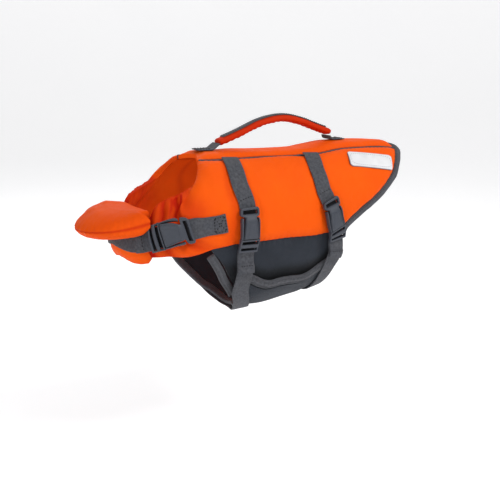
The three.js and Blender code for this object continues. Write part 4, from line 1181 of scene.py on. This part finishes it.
def handle():
    path = smooth_path(np.stack([GRIP_ARCH["x"], GRIP_ARCH["z"]], -1), 220)
    t = np.linspace(0, 1, 220)
    step = t * GRIP_LENGTH
    ends = 0.55 + 0.45 * np.sqrt(np.clip(1 - np.abs(2 * t - 1) ** 40, 0, 1))
    px, py = rounded(40, 0.8, 0.85)
    puffs = 1 + 0.035 * uneven(step, 0 * t, 81, 16) + 0.02 * np.sin(2 * np.pi * step / 8)
    rings = sweep(path, GRIP_WIDTH * ends, GRIP_THICKNESS * ends * puffs, (px, py))
    wrinkles = np.clip(-py, 0, 1) * np.sin(2 * np.pi * step / 6.5 + 2 * uneven(step, 0 * t, 83, 20))[:, None]
    rings[..., 2] += 0.35 * wrinkles
    # The grip's shade value: 0.8 all over, which takes its colour most of the way to the deep red, and
    # painted shade in the wrinkles on its underside.
    shade = 0.8 + 0.2 * np.clip(-wrinkles, 0, 1)
    foam("grip_pad", "handle_grip", rings, shade, 0.7, "pole")
    short = path[11:-11]
    strip = sweep(short, 9, 1.1, rounded(24, 0.25, 0.6), GRIP_THICKNESS / 2 + SEAM + 0.1)
    Shell().add(strip).make("grip_strip", GREY_TAPE, ["handle_strip"], "webbing_grey")
    lines = []
    along = unit(np.gradient(short, axis=0))
    up = np.stack([-along[:, 1], 0 * along[:, 0], along[:, 0]], -1)
    for side in (-3.2, 3.2):
        points = np.stack([short[:, 0], np.full(len(short), side), short[:, 1]], -1)
        lines.append((points + up * (GRIP_THICKNESS / 2 + SEAM + 0.6), up))
    front = np.concatenate([on_spine([-130, -124, -118, -113.5]), FRONT_RISE])
    rear = np.concatenate([REAR_RISE, on_spine([48.6, 53, 58, 63])])
    for name, foot, (low, high) in (("front", front, (-128.5, -115)), ("rear", rear, (50.5, 61.5))):
        path = smooth_path(foot, 90)
        rings = sweep(path, WEBBING_WIDTH, WEBBING, rounded(28, 0.22, 0.55))
        foot = Shell().add(rings)
        foot.make(f"handle_foot_{name}", GREY_WEBBING, [f"handle_webbing_{name}"], "webbing_grey")
        corners = [(low, -7), (high, -7), (high, 7), (low, 7), (low, -7), (high, 7)]
        for (u0, y0), (u1, y1) in zip(corners[:-1], corners[1:]):
            t = np.linspace(0, 1, 20)
            flat = on_spine(mix(u0, u1, t))
            points = np.stack([flat[:, 0], mix(y0, y1, t), flat[:, 1] + WEBBING / 2], -1)
            lines.append((points, np.broadcast_to([0.0, 0.0, 1.0], points.shape)))
    return lines


# Label
def label():
    """A blank patch with round corners and a raised, sewn border."""
    length, height, corner, tilt = 61, 20, 4, 0.16
    middle_u, middle_v, mm = 73, -46, 1.12
    a, b = np.meshgrid(np.linspace(0, 1, 121), np.linspace(0, 1, 49), indexing="ij")
    side, up = 2 * a - 1, 2 * b - 1
    along = length / 2 * np.sign(side) * (1 - (1 - np.abs(side)) ** 1.5)
    over = np.maximum(0, np.abs(along) - length / 2 + corner)
    half = height / 2 - corner + np.sqrt(np.maximum(corner**2 - over**2, 0.01))
    tall = up * half
    u, v = middle_u + along - 1.5 * up, middle_v - (tall + tilt * along) / mm
    edge = np.minimum(length / 2 - np.abs(along), half - np.abs(tall))
    rim = 0.35 * hill(edge - 1.0, 0.7) - 0.25 * hill(edge, 0.35)
    rest = side_height(u, v) + LIFT
    rings, dark = wall(u, v, rest - 0.3, rest + 0.9 + rim, hill(edge, 0.5))
    Shell().add(rings, caps="across", shade=dark).make("label_patch", WHITE, ["label"], "label_white")
    t = np.linspace(0, 2 * np.pi, 200)
    c, s = np.cos(t), np.sin(t)
    al = (length / 2 - 2.6) * np.sign(c) * np.abs(c) ** 0.35
    ta = (height / 2 - 2.6) * np.sign(s) * np.abs(s) ** 0.45
    u, v = middle_u + al - 1.5 * ta / 10, middle_v - (ta + tilt * al) / mm
    points = stand(u, v, side_height(u, v) + LIFT + 0.95)
    return [(points, slopes(u, v)[2])]


for name, sign in SIDES:
    side_panel(name, sign)
    piping(name, sign)
back_panel()
chest_panel()
flap()
belly_panel()

middle = BINDING_WIDTH / 2 + SEAM
edge_middle = EDGE_BINDING_WIDTH / 2 + 1.7 * SEAM
band_middle = 0.45 * HEM_BINDING_WIDTH + 2 * SEAM
BAND_WIDTH = 0.9 * HEM_BINDING_WIDTH
u, v = edge_line(REAR_EDGE, -102.6, 102.6, 420)
rear_tape = binding("rear_tape", "rear_binding", u, v, -middle, 2.7, BINDING_WIDTH, BINDING_HEIGHT, 0.15)
tape_lines = [thread_line(rear_tape, 0.55)]
u, v = edge_line(WAIST, -105, -117, 40)
edge_size = EDGE_BINDING_WIDTH, EDGE_BINDING_HEIGHT
binding("flap_tape_rear", "flap_binding_rear", u, v, edge_middle, NEOPRENE / 2, *edge_size)
u, v = edge_line(FLAP_FRONT, -106, -140, 80)
wide_band("flap_band_front", "flap_binding_front", u, v, 0.5 - band_middle, NEOPRENE / 2, BAND_WIDTH, 0.03)
u, v = edge_line(WAIST, 105, 239.6, 260)
height = belly_low(u, v) + NEOPRENE / 2
belly_tape = binding("belly_tape_rear", "belly_binding_rear", u, v, -edge_middle, height, *edge_size, 0.1)
tape_lines.append(thread_line(belly_tape, 0.5))
v = np.linspace(106, 242.4, 260)
u = read(BELLY_FRONT, "v", v, "u")
height = belly_low(u, v) + NEOPRENE / 2
wide_band("belly_band_front", "belly_binding_front", u, v, band_middle, height, BAND_WIDTH, 0.03)
u = np.linspace(-101.8, 16.8, 200)
v = -(read(BELLY_TOP, "u", u, "v") + HEM_ROOM / 2)
wide_band("belly_hem", "belly_binding_top", u, v, 0.0, belly_low(u, v) + NEOPRENE / 2, HEM_BINDING_WIDTH)

strap_lines = []
girth = lambda table: read(PIPING, "u", read(table, "v", 20, "u"), "v") + PIPING_ROOM + 0.6
for rule in (
    ("front_strap", FRONT_STRAP, girth(FRONT_STRAP), 75, 1.0, 21),
    ("rear_strap", REAR_STRAP, girth(REAR_STRAP), 76.5, 1.0, 19),
    ("neck_strap", NECK_STRAP, 85, 96, 0.86, 14),
):
    strap_lines += strap_pieces(*rule)
chin_float()
strap_lines += handle()
sew(strap_lines, "strap_stitches", DARK_THREAD, "webbing_grey", 0.5)
sew(tape_lines, "tape_stitches", DARK_THREAD, "binding_grey")
sew(label(), "label_stitches", PALE_THREAD, "label_white")


# Stage, lights and camera
VIEW_TURN = math.radians(-30)


def stage():
    """A pale floor that curves up into a backdrop, square to the camera."""
    flat, radius, ground = 2.5, 1.2, -0.34
    x, t = np.meshgrid(np.linspace(-4, 4, 9), np.linspace(0, 1, 60), indexing="ij")
    run = t * 8 - 3.5
    bend = np.clip((run - flat) / radius, 0, None)
    curved, upright = np.minimum(bend, np.pi / 2), np.maximum(0, bend - np.pi / 2)
    y = np.where(run < flat, run, flat + radius * np.sin(curved))
    z = radius * (1 - np.cos(curved) + upright) + ground
    c, s = math.cos(VIEW_TURN), math.sin(VIEW_TURN)
    points = np.stack([x * c - y * s, x * s + y * c, z], -1)
    n, m = x.shape
    j, i = np.meshgrid(np.arange(n - 1), np.arange(m - 1), indexing="ij")
    quads = np.stack([j * m + i, (j + 1) * m + i, (j + 1) * m + i + 1, j * m + i + 1], -1).reshape(-1, 4)
    mesh = bpy.data.meshes.new("studio_floor")
    mesh.from_pydata(points.reshape(-1, 3).tolist(), [], quads.tolist())
    mesh.polygons.foreach_set("use_smooth", np.ones(len(quads), bool))
    floor = bpy.data.objects.new("studio_floor", mesh)
    bpy.context.scene.collection.objects.link(floor)
    f = Finish("pale_floor", 0.9, Emission_Color=rgb(255, 255, 255), Emission_Strength=0.34)
    colour = f.blend(f.noise(400, 2), rgb(244, 244, 245), rgb(240, 240, 242))
    mesh.materials.append(f.wear(colour))


def light(name, place, size, power, aim=(-0.05, 0.0, -0.06)):
    lamp = bpy.data.lights.new(name, "AREA")
    lamp.shape, lamp.size, lamp.energy = "DISK", size, power
    obj = bpy.data.objects.new(name, lamp)
    obj.location = place
    obj.rotation_euler = (Vector(aim) - Vector(place)).to_track_quat("-Z", "Y").to_euler()
    bpy.context.scene.collection.objects.link(obj)


stage()
light("key", (0.55, -1.2, 1.25), 0.6, 19)
light("fill", (-1.3, -0.9, 0.5), 1.2, 5)
light("back", (0.2, 1.3, 1.2), 1.2, 8)
scene = bpy.context.scene
world = bpy.data.worlds.new("studio")
world.use_nodes = True
world.node_tree.nodes["Background"].inputs["Color"].default_value = (1, 1, 1, 1)
world.node_tree.nodes["Background"].inputs["Strength"].default_value = 0.5
scene.world = world
scene.view_settings.view_transform = "Standard"

lens = bpy.data.cameras.new("photo_camera")
lens.sensor_width, lens.lens = 36, 74.3
camera = bpy.data.objects.new("photo_camera", lens)
camera.location = (-0.6448, -1.0122, 0.1445)
camera.rotation_euler = (math.radians(77.807), 0, VIEW_TURN)
scene.collection.objects.link(camera)
scene.camera = camera
